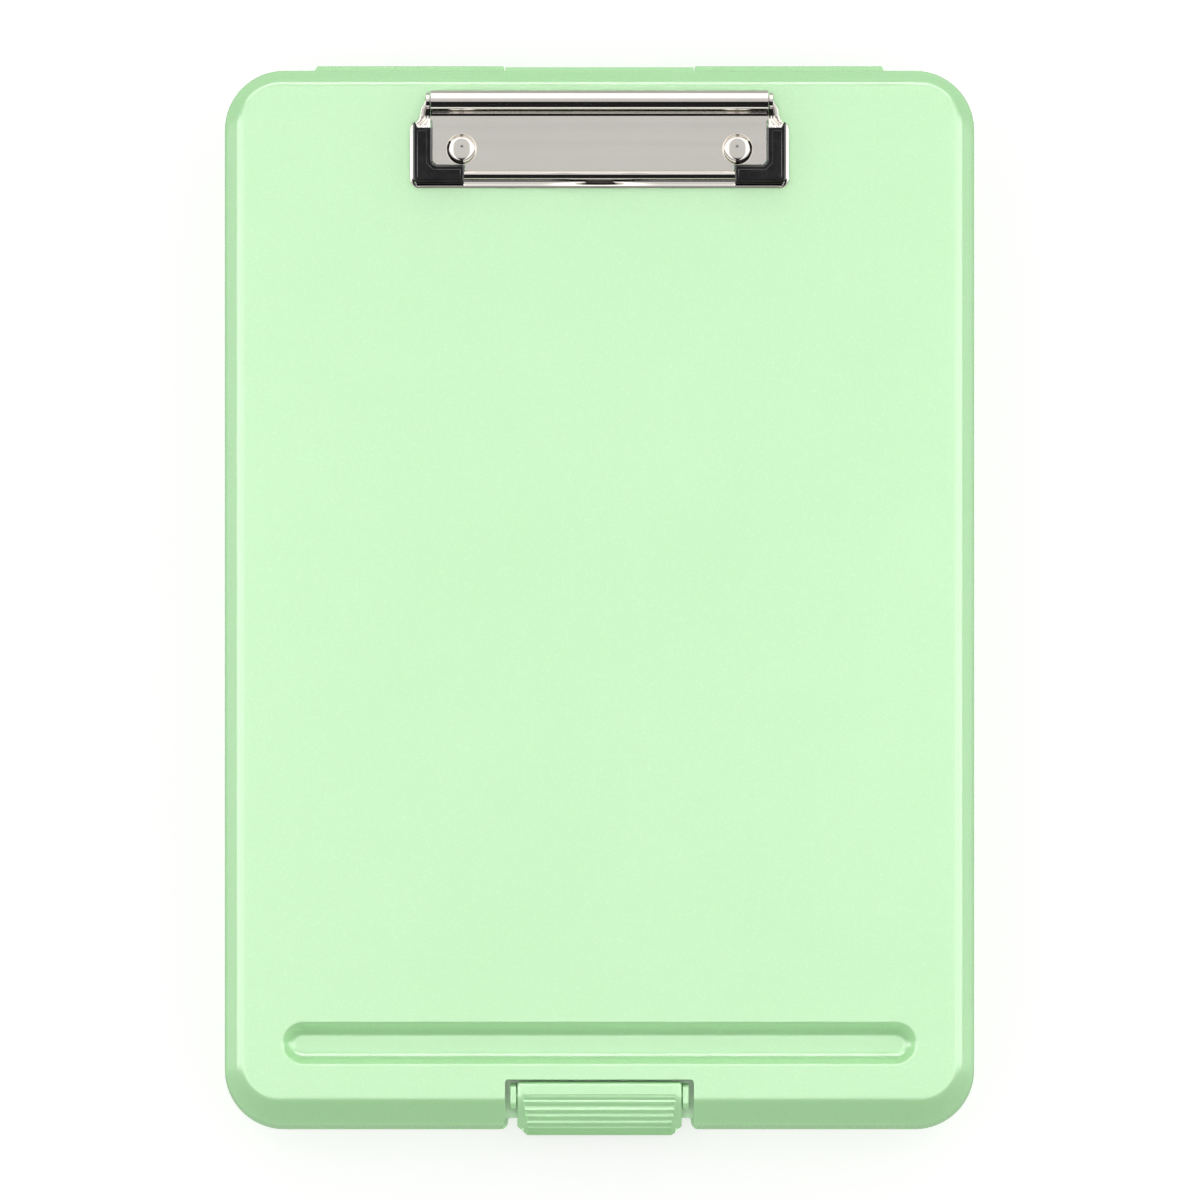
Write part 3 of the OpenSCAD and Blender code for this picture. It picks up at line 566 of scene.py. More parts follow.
def tray_outline(t):
    """Loop of the rounded bottom edge: t is 1 at the floor and 0 where the wall begins."""
    inset = DRAFT * (1 - FOOT_R * (1 - t) / PART_Z) + FOOT_R * t * t
    return outline(FOOT_R * (1 - t) ** 2, inset, inset + REAR_STEP, inset, CORNER - 0.5 * inset)


def ring(name, steps):
    """Skin over loops of the tray, each given as inset and height."""
    return skin(name, [outline(z, i, i + REAR_STEP, i, CORNER - i) for i, z in steps])


def tray_skin(name):
    """The outer skin: the rounded foot, the wall and a small round on the rim."""
    foot = [tray_outline(1 - i / 9) for i in range(10)]
    rim = [outline(z, i, i + REAR_STEP, i, CORNER - i)
           for i, z in ((0, PART_Z - 0.3), (0.08, PART_Z - 0.08), (0.3, PART_Z))]
    return skin(name, foot + rim)


tray = tray_skin("case_tray")
floor_bend = bend((3.2, 6.0), (3.9, 2.0), (7.2, 2.0), 7)
hollow = ring("hollow", floor_bend[::-1] + [(2, PART_Z + 1)])
KNUCKLES_HALF, RIM_LAND = 91.5, 15.3
combine(hollow, block("recess wall", -31.25, 31.25, -175, CATCH_Y + 2, -1, RIM_LAND),
        "DIFFERENCE")
combine(hollow, block("hinge land", -KNUCKLES_HALF, KNUCKLES_HALF, 162.9, 175, -1, RIM_LAND),
        "DIFFERENCE")
combine(tray, hollow, "DIFFERENCE")
print("tray shell:", len(tray.data.polygons), "faces")

# %% [markdown]
# ### Lip and recess
# The lip is a ring with a leaning foot, so that it can leave the mould, and it stops short of
# the latch. The recess is cut with the same plan as the lid's notch, a little narrower.

# %% Tray lip and latch recess
lip = ring("lip", [(1.5, 12.7), (1.5, 15.2), (2.35, 15.21), (2.35, 16.6), (2.6, 16.9)])
combine(lip, ring("inside", [(2.0, 11.9), (2.0, 12.9), (3.55, 14.5), (3.55, 17.9)]),
        "DIFFERENCE")
combine(lip, block("gap", -32.75, 32.75, -175, -150.5, 11, 18), "DIFFERENCE")
combine(tray, lip, "UNION")
combine(tray, plank("recess", notch_plan(29.25, CATCH_Y, inner=0.8), -1, 18.5), "DIFFERENCE")


def recess_edge(middle, faces):
    """True on the edges of the latch recess, between the tray's foot and its rim."""
    inside = abs(middle.x) < 34 and middle.y < -163.5 and 0.5 < middle.z < 15.6
    return inside and min(abs(f.normal.z) for f in faces) < 0.02


round_edges(tray, 0.4, recess_edge, steps=2)
rib = bar("rib", [(-165.0, 8.9), (-167.8, 8.9), (-167.8, 9.9), (-165.0, 12.1)], -20, 20)
combine(tray, round_edges(rib, 0.2, steps=2), "UNION")
print("tray with lip and recess:", len(tray.data.polygons), "faces")

# %% [markdown]
# ### Knuckles
# Two knuckles stand at both sides of the lid's barrel and hold the hinge pin. They are bars of
# a rounded section that grow out of the rear wall, and their outer ends are slanted.

# %% Tray knuckles
KNUCKLE_R, KNUCKLE_W, WALL_Y = 2.99, 61, 165.3
knuckle_section = arc(HINGE_Y, HINGE_Z, KNUCKLE_R, -90, 90, 20)
knuckle_section += [(WALL_Y, HINGE_Z + KNUCKLE_R), (WALL_Y, HINGE_Z - KNUCKLE_R)]
for left in (-KNUCKLES_HALF, KNUCKLES_HALF - KNUCKLE_W):
    knuckle = bar("knuckle", knuckle_section, left, left + KNUCKLE_W)
    combine(tray, round_edges(knuckle, 0.35, lambda m, f: m.y > 166.2, steps=3), "UNION")
    tip = math.copysign(KNUCKLES_HALF + 0.1, left)
    slant = [(tip, 168.6), (tip, 172), (tip - math.copysign(1.7, tip), 172)]
    combine(tray, plank("slant", slant, 5, 20), "DIFFERENCE")
combine(tray, block("pocket", -30.6, 30.6, 165.05, 175, 4.5, 19), "DIFFERENCE")
combine(tray, bar("bore", circle(HINGE_Y, HINGE_Z, 1.25, 24), -90, 90), "DIFFERENCE")
fit(tray, "tray", tray_mint, ["base_tray", "catch_wall"], crease=26)

# %% [markdown]
# ## The latch
# The latch is a shell that curves through a quarter turn, with eight scooped flutes for the
# finger. The flutes stop short of the ends, and their ends step inwards down the latch, so
# the sheet is drawn as sections along X that each know how deep every flute is there.

# %% Latch section
LATCH_HALF, LATCH_R, GRIP_Y, GRIP_Z, LATCH_FRONT = 26.3, 13.6, -157.9, 11.4, -171.5
FLUTES, FLUTE_START, FLUTE_TURN = 8, 1.2, 10.7  # their count, first angle and spacing
RIDGE = 0.94  # a flute takes this share of its spacing, and the ridge the rest
FLUTE_DEPTH, DEEPER, FADE = 0.5, 0.06, 0.35  # each flute is a little deeper than the last
BORDER, STEP_IN = 1.9, 0.32  # plain sheet beside the first flute, and its growth per flute
END_X, END_RUN, END_DROP = 25.2, 1.12, 0.9  # the rounding of the latch's two ends


def flute_depth(angle, x):
    """Depth of the flutes at an angle from the pad and at x, with a land on each ridge."""
    turn = (angle - FLUTE_START) / FLUTE_TURN
    if not 0 <= turn <= FLUTES:
        return 0.0
    border = BORDER + STEP_IN * min(int(turn), 4)
    share = min(max((LATCH_HALF - border - abs(x)) / FADE, 0), 1)
    across = min(abs(2 * (turn % 1) - 1), RIDGE)
    return (FLUTE_DEPTH + DEEPER * turn) * share * (RIDGE ** 2 - across ** 2) / RIDGE ** 2


def latch_section(x):
    """Closed section of the latch at x."""
    run = min(max((abs(x) - END_X) / END_RUN, 0), 1)
    drop = END_DROP * (1 - math.sqrt(1 - run ** 2))
    heel = [(-154.03, 23.0 - drop), (-154.16, 23.7 - drop)]
    heel += bend((-154.3, 24.15 - drop), (-154.6, 25.0 - drop), (-155.5, 25.0 - drop), 6)
    angles = [0.0, FLUTE_START]
    angles += [FLUTE_START + FLUTE_TURN * (k + u / 2) for k in range(FLUTES)
               for u in (0.06, 0.25, 0.5, 0.75, 1.0, 1.25, 1.5, 1.75, 1.94)]
    grip = []
    for angle in angles + [88.0, 90.0]:
        reach = LATCH_R - drop - flute_depth(angle, x)
        a = math.radians(90 + angle)
        grip.append((GRIP_Y + reach * math.cos(a), GRIP_Z + reach * math.sin(a)))
    skirt = [(LATCH_FRONT, 9.0)] + bend((LATCH_FRONT, 7.2), (LATCH_FRONT, 6.1),
                                        (LATCH_FRONT + 0.9, 6.1), 4)
    inside = [(LATCH_FRONT + 2, 6.1), (LATCH_FRONT + 2, 9.0)]
    inside += arc(GRIP_Y, GRIP_Z, LATCH_R - 2, 180, 90, 14)
    return heel + grip + skirt + inside


print("the latch's section has", len(latch_section(0)), "points")

# %% [markdown]
# Sections stand close together where the form changes, at the rounded ends and the flutes'
# stepped ends. In between, two are enough for a straight sheet.

# %% Latch body
stations = [LATCH_HALF, 26.22, 26.08, 25.9, 25.65, 25.4, END_X]
stations += [LATCH_HALF - 1.7 - 0.16 * i for i in range(13)]
stations = [-x for x in stations] + stations[::-1]
latch = skin("finger_latch", [[(x, y, z) for y, z in latch_section(x)] for x in stations])
print("latch sheet:", len(latch.data.polygons), "faces")

# %% [markdown]
# ### Cheeks, hub and nib
# Cheeks close the ends of the shell and braces stiffen its skirt. The hub carries two trunnions
# that turn in the lid's ears, and the nib hooks under the tray's rib. The lower corners are cut
# slantwise, as they are on the real latch.

# %% Latch cheeks, hub and nib
cheek = arc(GRIP_Y, GRIP_Z, 13.1, 81, 150, 14)[::-1]
cheek = [(-169.5, 17.9)] + cheek + [(-155.9, 22.5), (-157.0, 17.9)]
brace = [(-171.0, 7.1), (-171.0, 19.0), (-168.1, 19.0), (-168.1, 7.1)]
for side in (1, -1):
    for section in (cheek, brace):
        web = bar("web", section, *sorted((side * 24.2, side * 25.9)))
        combine(latch, web, "UNION")
nib = block("nib", -22.3, 22.3, -170.0, -168.0, 6.1, 8.5)
combine(latch, round_edges(nib, 0.25, steps=2), "UNION")
for side in (1, -1):
    edge = side * (LATCH_HALF + 1)
    corner = [(side * (LATCH_HALF - 3.2), LATCH_FRONT - 0.01), (edge, LATCH_FRONT + 3.9),
              (edge, LATCH_FRONT - 2), (side * (LATCH_HALF - 3.2), LATCH_FRONT - 2)]
    combine(latch, plank("corner", corner, 0, 30), "DIFFERENCE")
    heel = [(side * (LATCH_HALF - 1.3), -153.5), (edge, -153.5), (edge, -156.0)]
    combine(latch, plank("heel", heel, 0, 30), "DIFFERENCE")
for name, radius, half in (("hub", 2.3, 26.0), ("trunnion", 1.25, 28.1)):
    combine(latch, bar(name, circle(PIVOT_Y, PIVOT_Z, radius, 24), -half, half), "UNION")
fit(latch, "latch", latch_mint, ["latch"], crease=40)

# %% [markdown]
# ## The clip plate
# Sheet metal is easiest to draw as a line on its upper face, given a thickness. The plate lies
# on the lid, turns up, rolls over the rod and curls in at the back. Between the grips it is
# narrower, so the corners are cut away after it has been pulled along X.

# %% Sheet metal
def sheet(path, thickness):
    """Closed section of a sheet whose upper face follows path; the sheet lies to its right."""
    back = []
    for i, (y, z) in enumerate(path):
        y0, z0 = path[max(i - 1, 0)]
        y1, z1 = path[min(i + 1, len(path) - 1)]
        size = math.hypot(y1 - y0, z1 - z0)
        back.append((y + thickness * (z1 - z0) / size, z - thickness * (y1 - y0) / size))
    return path + back[::-1]


PLATE_T, PLATE_HALF, ROLL_R = 0.9, 54, 3.39
PLATE_TOP = FACE + PLATE_T
plate_path = [(137.35, PLATE_TOP), (154.0, PLATE_TOP)] + arc(154.7, 27.5, 1.6, -90, 0, 10)
plate_path += arc(ROLL_Y, ROLL_Z, ROLL_R, 180, -72, 44)
plate = bar("riveted_plate", sheet(plate_path, PLATE_T), -PLATE_HALF, PLATE_HALF)
for side in (1, -1):
    cut = [(43.0, 130), (43.0, 139.35), (52.2, 139.35), (53.4, 140.55), (53.4, 153.1),
           (PLATE_HALF, 153.7), (60, 153.7), (60, 130)]
    combine(plate, plank("cut", [(side * x, y) for x, y in cut], 20, 27), "DIFFERENCE")
# a tab closes the roll at each end and holds the rod
disc = circle(ROLL_Y, ROLL_Z, 2.8, 36)
for start in (-PLATE_HALF, PLATE_HALF - PLATE_T):
    combine(plate, bar("tab", disc, start, start + PLATE_T), "UNION")
round_edges(plate, 0.12, steps=2, sharper=40)
fit(plate, "lid", plate_chrome, ["clip_plate"], crease=30)

# %% [markdown]
# ## The jaw
# The jaw is one stamped frame. Its front bar is a bead with a lip that presses on the paper,
# and two small lens-shaped swages stiffen it near the middle. The bar is drawn as sections
# along X, so that the swages can swell and fade.

# %% Front bar
JAW_FRONT, JAW_SHEET = 131.6, 0.7
LENS_X, LENS_HALF, WAVE_HALF = 11.3, 5.4, 20  # the two swages, and the lip's rise in the middle


def bar_path(x):
    """Upper face of the front bar at x, from its rear edge to the lip, above the face."""
    lens = max(1 - ((abs(x) - LENS_X) / LENS_HALF) ** 2, 0)
    wave = 0.5 + 0.5 * math.cos(math.pi * min(abs(x) / WAVE_HALF, 1))
    rear, lift = 0.35 * lens, 0.45 * wave
    crest = bend((5.65, 2.2 + rear), (5.45, 3.0 + rear), (4.85, 3.2), 6)
    slope = bend((4.5, 3.19), (3.7, 3.05), (3.2, 2.65), 7)
    wall = bend((3.05, 2.4), (2.85, 1.7), (2.75, 1.45), 4)
    valley = bend((2.65, 1.3), (2.5, 1.05), (2.15, 1.02), 4)
    lip = [(1.75, 1.08 + 0.3 * lift), (1.35, 1.16 + 0.6 * lift)]
    edge = bend((1.0, 1.25 + lift), (0.25, 1.4 + lift), (0.12, 0.7 + lift), 7)
    return [(JAW_FRONT + v, FACE + z) for v, z in crest + slope + wall + valley + lip + edge]


places = [-59.0, -57, -40, -24] + [i - 22 for i in range(45)] + [24, 40, 57, 59.0]
jaw = skin("clip_frame", [[(x, y, z) for y, z in sheet(bar_path(x), -JAW_SHEET)]
                          for x in places])
print("front bar:", len(jaw.data.polygons), "faces")

# %% [markdown]
# The side bands run back from the bar and are folded down along their outer edges. Behind the
# grips each band narrows into an arm that climbs to its eye on the rod. The sheet gathers in
# three ridges where it leaves the grip, and only the outermost one runs on up the arm.

# %% Bands and arms
ARM = [  # y, inner x, outer x, height of the ridge, height of the fold's lower edge
    (131.8, 57.5, 58.4, 1.9, 0.4), (132.1, 58.2, 59.3, 2.1, 0.4), (132.7, 58.8, 59.95, 2.5, 0.4),
    (133.5, 59.2, 60.35, 2.9, 0.4), (134.4, 59.4, 60.6, 3.1, 0.4), (135.2, 54.4, 60.65, 3.2, 0.4),
    (149.0, 54.2, 60.65, 3.2, 0.4), (151.0, 54.1, 60.65, 3.2, 0.4),
    (152.0, 54.1, 60.4, 3.25, 0.4), (152.5, 54.1, 59.4, 3.3, 0.5),
    (153.1, 54.1, 58.6, 3.4, 0.7), (154.0, 54.1, 57.95, 3.6, 0.9),
    (155.0, 54.1, 57.6, 4.0, 1.2), (156.0, 54.1, 57.35, 4.45, 1.6),
    (157.0, 54.15, 57.1, 4.95, 2.0), (158.0, 54.2, 56.75, 5.45, 2.3),
    (158.8, 54.25, 56.25, 5.85, 2.5), (159.6, 54.3, 55.75, 6.2, 2.7),
    (160.4, 54.3, 55.25, 6.3, 3.0), (161.1, 54.3, 54.95, 6.1, 3.2)]


def band_section(y, inner, outer, ridge, foot, thickness=0.9):
    """Section of x and z at y: the gathered top, the fold and the outer leg."""
    gather = min(max((y - 150.5) / 1.2, 0), 1)
    climb = min(max((y - 152.6) / 1.6, 0), 1)
    fold = min(1.25, (outer - inner) * 0.5)
    top = []
    for i in range(25):
        u = i / 24
        x = inner + u * (outer - fold - inner)
        crease = 0.55 * gather * (1 - climb) * (abs(math.sin(3 * math.pi * u)) - 1)
        sunk = -1.1 * climb * min(max((0.95 - u) / 0.14, 0), 1)
        top.append((x, ridge + crease + sunk))
    top += bend((outer - fold, ridge), (outer, ridge), (outer, ridge - fold), 7)[1:]
    leg = [(outer, foot)]
    below = [(max(x - 0.05, inner), z - thickness) for x, z in top[:25]]
    below += bend((outer - fold, ridge - thickness), (outer - thickness, ridge - thickness),
                  (outer - thickness, ridge - fold), 7)[1:]
    return top + leg + [(outer - thickness, foot)] + below[::-1]


# the bar's corners are cut round before the bands join it
cut_plan = [(57.2, JAW_FRONT - 1), (57.8, JAW_FRONT), (58.9, JAW_FRONT + 0.6),
            (59.9, JAW_FRONT + 1.9), (60.2, JAW_FRONT + 3.2), (61.5, JAW_FRONT + 3.4),
            (61.5, JAW_FRONT - 1)]
corner_cut = plank("cut", cut_plan, 20, 35)
combine(jaw, mirrored(corner_cut, "left cut"), "DIFFERENCE")
combine(jaw, corner_cut, "DIFFERENCE")
right = skin("band", [[(x, row[0], FACE + z) for x, z in band_section(*row)] for row in ARM])
combine(right, bar("eye", circle(ROLL_Y, ROLL_Z, 2.6, 36), 54.4, 55.5), "UNION")
left = mirrored(right, "left band")
combine(jaw, right, "UNION")
combine(jaw, left, "UNION")
fit(jaw, "jaw", jaw_chrome, ["clip_jaw"], crease=34)

# %% [markdown]
# ## Grips
# Each grip is an L of vinyl with broad soft edges. It is drawn from its plan and rounded twice:
# a wide rounding on the top edges and a small one on the rest.

# %% Grips
grip_plan = [(43.35, 133.2), (58.6, 133.2), (59.7, 134.7), (59.7, 151.0), (59.7, 152.4),
             (59.2, 153.0), (58.6, 152.2), (58.3, 151.2), (53.6, 151.2), (53.6, 140.7),
             (53.2, 139.6), (52.1, 139.15), (43.35, 139.15)]
grip = plank("grip", grip_plan, FACE + 0.3, FACE + 4.05)
round_edges(grip, 0.8, lambda m, f: m.z > FACE + 4 and m.y < 151, steps=5)
round_edges(grip, 0.2, lambda m, f: m.z < FACE + 4 or m.y > 151, steps=2, sharper=40)
panel_plan = [(44.4, 134.4), (57.6, 134.4), (58.4, 135.4), (58.4, 150.3), (55.2, 150.3),
              (55.2, 139.9), (53.2, 137.9), (44.4, 137.9)]
panel = plank("panel", panel_plan, FACE + 3.0, FACE + 4.3)
combine(grip, round_edges(panel, 0.22, lambda m, f: m.z > FACE + 4.2, steps=3), "UNION")
left_grip = mirrored(grip, "left")
for piece, node in ((grip, "grip_right"), (left_grip, "grip_left")):
    piece.name = "vinyl_" + node
    fit(piece, "jaw", grip_vinyl, [node], crease=38)

# %% [markdown]
# ## Rivets
# A rivet head is pressed by a setting tool: a flat crown, a shoulder and a steep rim. It is a
# turned shape, so it is made from circles of changing radius. What a mirror shows depends on
# the slope alone, so the profile is given as a slope at every radius.

# %% Rivets
RIVET_X, RIVET_Y, CROWN_Z, HEAD_R = 44.15, 144.3, 28.1, 4.9


def turned(name, x, y, profile, sides=48):
    """A solid of revolution about a vertical axis, from radius and height."""
    return skin(name, [[(px, py, z) for px, py in circle(x, y, r, sides)] for r, z in profile])


def dome_profile():
    """Radius and height of the head: a flat crown, a shoulder and a steep rim."""
    # radius, and the slope there in degrees
    leans = [(0.0, 0), (1.9, 2.2), (2.2, 4), (3.0, 5.5), (3.3, 12), (3.55, 32), (4.2, 46),
             (HEAD_R, 66)]
    radius, height, path = 0.1, CROWN_Z, [(0.1, CROWN_Z)]
    while radius < HEAD_R - 0.02:
        (r0, a0), (r1, a1) = next(p for p in zip(leans, leans[1:]) if p[1][0] > radius)
        lean = a0 + (a1 - a0) * (radius - r0) / (r1 - r0)
        stride = 0.35 if radius < 2.3 else 0.12
        radius, height = radius + stride, height - stride * math.tan(math.radians(lean))
        path.append((min(radius, HEAD_R), height))
    return path[::-1]


dome = [(1.2, 21.2), (2.7, 21.2), (3.2, 21.5), (3.2, 22.2), (2.0, 22.2), (2.0, PLATE_TOP),
        (HEAD_R, PLATE_TOP)] + dome_profile()
print("rivet head edge is", round(dome_profile()[0][1] - PLATE_TOP, 2), "mm high")
head = turned("rivet_pair", RIVET_X, RIVET_Y, dome)
combine(head, turned("left rivet", -RIVET_X, RIVET_Y, dome), "UNION")
fit(head, "lid", rivet_chrome, ["rivets"], crease=50)

# %% [markdown]
# ## Springs, rod, pin and washers
# The pin and the washers are already right in the CAD model, so they only get their finish.
# The springs are wound anew as a smooth tube along a helix, and the rod gets upset ends, low
# domes that a press squeezes on after the rod has gone through the jaw's eyes.

# %% Springs
TURNS, PITCH, COIL_R, WIRE_R, COIL_X, COIL_STEPS = 8.25, 1.25, 1.8, 0.35, 28.0, 99


def spring(name, side):
    """Torsion spring: a tail through the rod, eight and a quarter turns, a tail at the roll."""
    points = [(COIL_X, 0.0, -1.2), (COIL_X, 0.0, 1.5)]
    for i in range(1, COIL_STEPS + 1):
        a = math.radians(360 * TURNS * i / COIL_STEPS)
        points.append((COIL_X + PITCH * TURNS * i / COIL_STEPS,
                       COIL_R * math.sin(a), COIL_R * math.cos(a)))
    points.append((COIL_X + PITCH * TURNS, COIL_R, -1.0))
    curve = bpy.data.curves.new(name, "CURVE")
    curve.dimensions, curve.bevel_depth, curve.bevel_resolution = "3D", WIRE_R, 3
    curve.use_fill_caps = True
    line = curve.splines.new("POLY")
    line.points.add(len(points) - 1)
    for target, (x, y, z) in zip(line.points, points):
        target.co = (side * x, ROLL_Y + y, ROLL_Z + z, 1)
    wire = put(name, curve)
    mesh = bpy.data.meshes.new_from_object(
        wire.evaluated_get(bpy.context.evaluated_depsgraph_get()))
    bpy.data.objects.remove(wire)
    return put(name, mesh)


for side, name in ((1, "spring_right"), (-1, "spring_left")):
    fit(spring(name, side), "lid", spring_steel, ["clip_springs"], crease=60)
rod_end = [(0.6, 55.75), (1.1, 55.7), (1.4, 55.6), (1.2, 55.55)]  # radius and x
loops = [(r, -x) for r, x in rod_end] + [(r, x) for r, x in rod_end[::-1]]
rod = skin("spring_rod", [[(x, y, z) for y, z in circle(ROLL_Y, ROLL_Z, r, 24)]
                          for r, x in loops])
fit(rod, "jaw", rod_steel, ["clip_rod"], crease=50)
for node, finish in (("hinge_pin", pin_steel), ("rivet_washers", washer_zinc)):
    carried = frame["nodes"][node]
    carried.data.materials.clear()
    carried.data.materials.append(finish)
    print(node, "keeps its CAD shape in", finish.name)

# %% [markdown]
# ## Floor
# The photograph looks straight down on the case over plain white, so the floor is a sheet of
# pale paper that glows a little for the camera alone. It keeps the case's soft shadow.

# %% Floor
SWEEP, DROP = 30, -0.02 * MM  # half its width in metres, and a hair under the case
floor_mesh = bpy.data.meshes.new("floor")
floor_mesh.from_pydata([(-SWEEP, -SWEEP, DROP), (SWEEP, -SWEEP, DROP), (SWEEP, SWEEP, DROP),
                        (-SWEEP, SWEEP, DROP)], [], [(0, 1, 2, 3)])
floor = put("floor", floor_mesh)
paper = bpy.data.materials.new("white paper sweep")
paper.use_nodes = True
tree = paper.node_tree
shader = tree.nodes["Principled BSDF"]
shader.inputs["Base Color"].default_value = linear("#BEBEBC")
shader.inputs["Roughness"].default_value = 0.9
seen = add(tree, "LightPath").outputs
glow = add(tree, "Emission", {"Strength": 0.62})
both = add(tree, "AddShader", None, {0: shader.outputs["BSDF"], 1: glow.outputs["Emission"]})
direct = add(tree, "MixShader", None,
             {0: seen["Is Camera Ray"], 1: shader.outputs["BSDF"], 2: both.outputs["Shader"]})
# from below the paper lets a look and light through, so that the case's underside can be seen
close = add(tree, "Math", {"operation": "LESS_THAN", 1: 0.5 * MM}, {0: seen["Ray Length"]})
under = add(tree, "Math", {"operation": "MAXIMUM"},
            {0: close.outputs["Value"], 1: add(tree, "NewGeometry").outputs["Backfacing"]})
glass = add(tree, "BsdfTransparent")
sweep = add(tree, "MixShader", None,
            {0: under.outputs["Value"], 1: direct.outputs["Shader"], 2: glass.outputs["BSDF"]})
tree.links.new(sweep.outputs["Shader"], tree.nodes["Material Output"].inputs["Surface"])
floor.data.materials.append(paper)
print("floor:", paper.name)

# %% [markdown]
# ## Room
# The room is one world with two faces. Both are painted by how far a direction tilts from the
# zenith, towards the hinge edge and towards the sides, so that tilt comes first.

# %% Tilt of a direction
room = bpy.data.worlds.new("studio")
bpy.context.scene.world = room
room.use_nodes = True
tree = room.node_tree
tree.nodes.clear()
way = add(tree, "SeparateXYZ", None,
          {0: add(tree, "TexCoord").outputs["Generated"]})
tilt = {}
for axis in ("X", "Y"):
    angle = add(tree, "Math", {"operation": "ARCTAN2"},
                {0: way.outputs[axis], 1: way.outputs["Z"]})
    tilt[axis] = add(tree, "Math",
                     {"operation": "MULTIPLY_ADD", 1: 0.5 / math.pi, 2: 0.5},
                     {0: angle.outputs["Value"]})


def shade(source, stops):
    """How bright the room is at each tilt from the zenith, in degrees, as grey levels."""
    node = add(tree, "ValToRGB", None, {"Fac": source.outputs["Value"]})
    marks = node.color_ramp.elements
    while len(marks) < len(stops):
        marks.new(0.5)
    for mark, (degrees, level) in zip(marks, stops):
        mark.position = 0.5 + degrees / 360
        mark.color = (level, level, level, 1)
    return node


print("tilt towards", " and ".join(tilt))

# %% [markdown]
# ### What the mirrors see
# Plated metal shows what is round it, so this face matters most for the clip: white behind the
# hinge edge and at the sides, grey overhead, dark towards the latch edge. A small dark hole
# near the zenith stands for the lens that looks in.

# %% Mirrored room
along = shade(tilt["Y"], [(-180, 0.7), (-95, 0.8), (-78, 0.8), (-74, 0.01), (-12, 0.01),
                          (-9, 0.5), (22, 0.54), (32, 1.0), (130, 1.0), (140, 0.05),
                          (160, 0.3), (180, 0.7)])
across = shade(tilt["X"], [(-90, 0.0), (-86, 1.0), (-10, 1.0), (-7, 0.0), (7, 0.0),
                           (10, 1.0), (86, 1.0), (90, 0.0)])
# the side walls darken towards the latch edge, so that the plate keeps its tone from behind
depth = shade(tilt["Y"], [(-180, 1.0), (-120, 1.0), (-80, 0.3), (-55, 0.3), (-30, 1.0),
                          (180, 1.0)])
walls = add(tree, "Mix", {"data_type": "RGBA", "blend_type": "MULTIPLY", 0: 1.0},
            {6: across.outputs["Color"], 7: depth.outputs["Color"]})
mirrored_room = add(tree, "Mix", {"data_type": "RGBA", "blend_type": "LIGHTEN",
                                            0: 1.0},
                    {6: along.outputs["Color"], 7: walls.outputs[2]})
LENS_OFF, LENS_WIDE = math.sin(math.radians(2.4)), math.sin(math.radians(0.8))
offset = add(tree, "Math", {"operation": "SUBTRACT", 1: LENS_OFF},
             {0: way.outputs["Y"]})
flat = add(tree, "CombineXYZ", {"Z": 0.0},
           {"X": way.outputs["X"], "Y": offset.outputs["Value"]})
reach = add(tree, "VectorMath", {"operation": "LENGTH"}, {0: flat.outputs["Vector"]})
lens_hole = add(tree, "Math", {"operation": "GREATER_THAN", 1: LENS_WIDE},
                {0: reach.outputs["Value"]})
overhead = add(tree, "Math", {"operation": "LESS_THAN", 1: 0.0},
               {0: way.outputs["Z"]})
keep = add(tree, "Math", {"operation": "MAXIMUM"},
           {0: lens_hole.outputs["Value"], 1: overhead.outputs["Value"]})
print("the hole is", round(2 * math.degrees(math.asin(LENS_WIDE)), 1), "degrees wide")

# %% [markdown]
# ### What lights the plastic
# Dull surfaces gather light from everywhere, so their face of the room is a soft tent: brighter
# behind and at the sides than in front. Light Path then gives each kind of ray its own face:
# mirrors see the first, dull surfaces the second, and the camera sees plain white.

# %% Tent
tent_y = shade(tilt["Y"], [(-180, 0.3), (-100, 0.2), (-88, 0.06), (-60, 0.07), (-30, 0.08),
                           (0, 0.1), (30, 0.16), (60, 0.42), (88, 0.98), (100, 0.5), (180, 0.3)])
tent_x = shade(tilt["X"], [(-95, 0.4), (-89, 0.85), (-75, 0.6), (-60, 0.38), (-40, 0.26),
                           (-10, 0.1), (10, 0.1), (40, 0.26), (60, 0.38), (75, 0.6),
                           (89, 0.85), (95, 0.4)])
tent = add(tree, "Mix", {"data_type": "RGBA", "blend_type": "LIGHTEN", 0: 1.0},
           {6: tent_y.outputs["Color"], 7: tent_x.outputs["Color"]})
SHINE, FILL = 1.3, 3.15  # strength of the mirrored room, and of the tent that lights
seen = add(tree, "LightPath").outputs
bright = add(tree, "Math", {"operation": "MULTIPLY", 1: SHINE},
             {0: keep.outputs["Value"]})
shine = add(tree, "Background", None,
            {"Color": mirrored_room.outputs[2], "Strength": bright.outputs["Value"]})
fill = add(tree, "Background", {"Strength": FILL}, {"Color": tent.outputs[2]})
white = add(tree, "Background", {"Color": (1, 1, 1, 1), "Strength": 1.0})
first = add(tree, "MixShader", None,
            {0: seen["Is Glossy Ray"], 1: fill.outputs[0], 2: shine.outputs[0]})
second = add(tree, "MixShader", None,
             {0: seen["Is Camera Ray"], 1: first.outputs[0], 2: white.outputs[0]})
third = add(tree, "MixShader", None,
            {0: seen["Is Transmission Ray"], 1: second.outputs[0], 2: white.outputs[0]})
add(tree, "OutputWorld", None, {"Surface": third.outputs[0]})
print("room:", room.name)

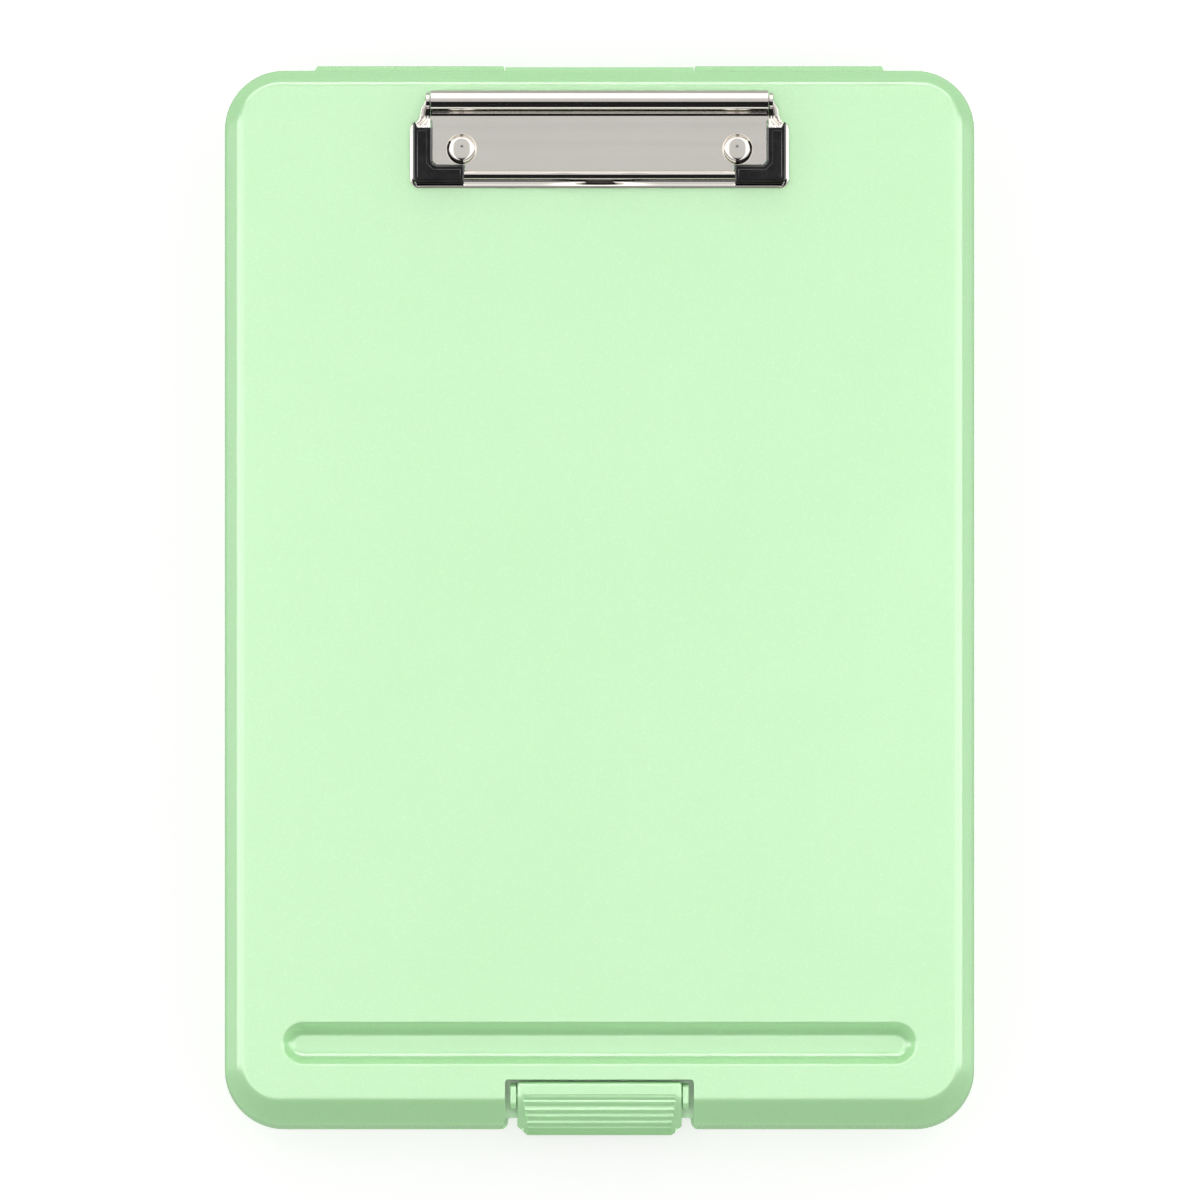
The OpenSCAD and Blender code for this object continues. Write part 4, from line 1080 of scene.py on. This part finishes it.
# %% [markdown]
# ## Softboxes
# Four softboxes add the sheen on the moulded pieces, three of them also on the grips. They are
# seen in reflections only, because the tent already gives the soft light, and they stay off the
# plated clip, whose mirror image is the room.

# %% Softboxes
LAMP_AWAY = 2.2  # metres from the case


def softbox(name, azimuth, lean, width, height, radiance, lit):
    """A lamp that looks at the case and shows only as sheen, on the pieces of lit."""
    lamp = bpy.data.lights.new(name, "AREA")
    lamp.shape, lamp.size, lamp.size_y = "RECTANGLE", width, height
    lamp.energy = math.pi * width * height * radiance
    holder = put(name, lamp)
    t, a = math.radians(lean), math.radians(azimuth)
    toward = Vector((math.sin(a) * math.sin(t), math.cos(a) * math.sin(t), math.cos(t)))
    holder.location = toward * LAMP_AWAY
    holder.rotation_euler = toward.to_track_quat("Z", "Y").to_euler()
    holder.visible_camera = False
    holder.visible_diffuse = False
    holder.light_linking.receiver_collection = lit
    print(name, "at", [round(v, 2) for v in holder.location])


plastics = bpy.data.collections.new("mint pieces")
glossy = bpy.data.collections.new("mint pieces and grips")
for piece in (lid, tray, latch):
    plastics.objects.link(piece)
for piece in (lid, tray, latch, grip, left_grip):
    glossy.objects.link(piece)
softbox("overhead softbox", 0, 0, 1.3, 1.3, 5.5, plastics)
softbox("hinge side softbox", 0, 36, 3.8, 0.75, 16, glossy)
for name, azimuth in (("left softbox", -90), ("right softbox", 90)):
    softbox(name, azimuth, 46, 0.75, 3.6, 9, glossy)

# %% [markdown]
# ## Camera
# The photograph shows no perspective: the walls of the notch stay hidden. So the camera stands
# far off with a long lens. One pixel of the photograph is 0.32 mm, which fixes the frame.

# %% Camera
PHOTO_PIXELS, PIXEL = 1200, 0.32 * MM
camera_data = bpy.data.cameras.new("camera")
camera = put("camera", camera_data)
bpy.context.scene.camera = camera
camera_data.sensor_width = 36.0
camera_data.lens = 1000.0
view_width = PHOTO_PIXELS * PIXEL
camera.location = (PIXEL / 2, 0.0,
                   FACE * MM + view_width * camera_data.lens / camera_data.sensor_width)
camera_data.clip_start, camera_data.clip_end = 0.1, 100.0
bpy.context.scene.view_settings.view_transform = "Standard"
print("camera", round(camera.location.z, 2), "m above the floor")
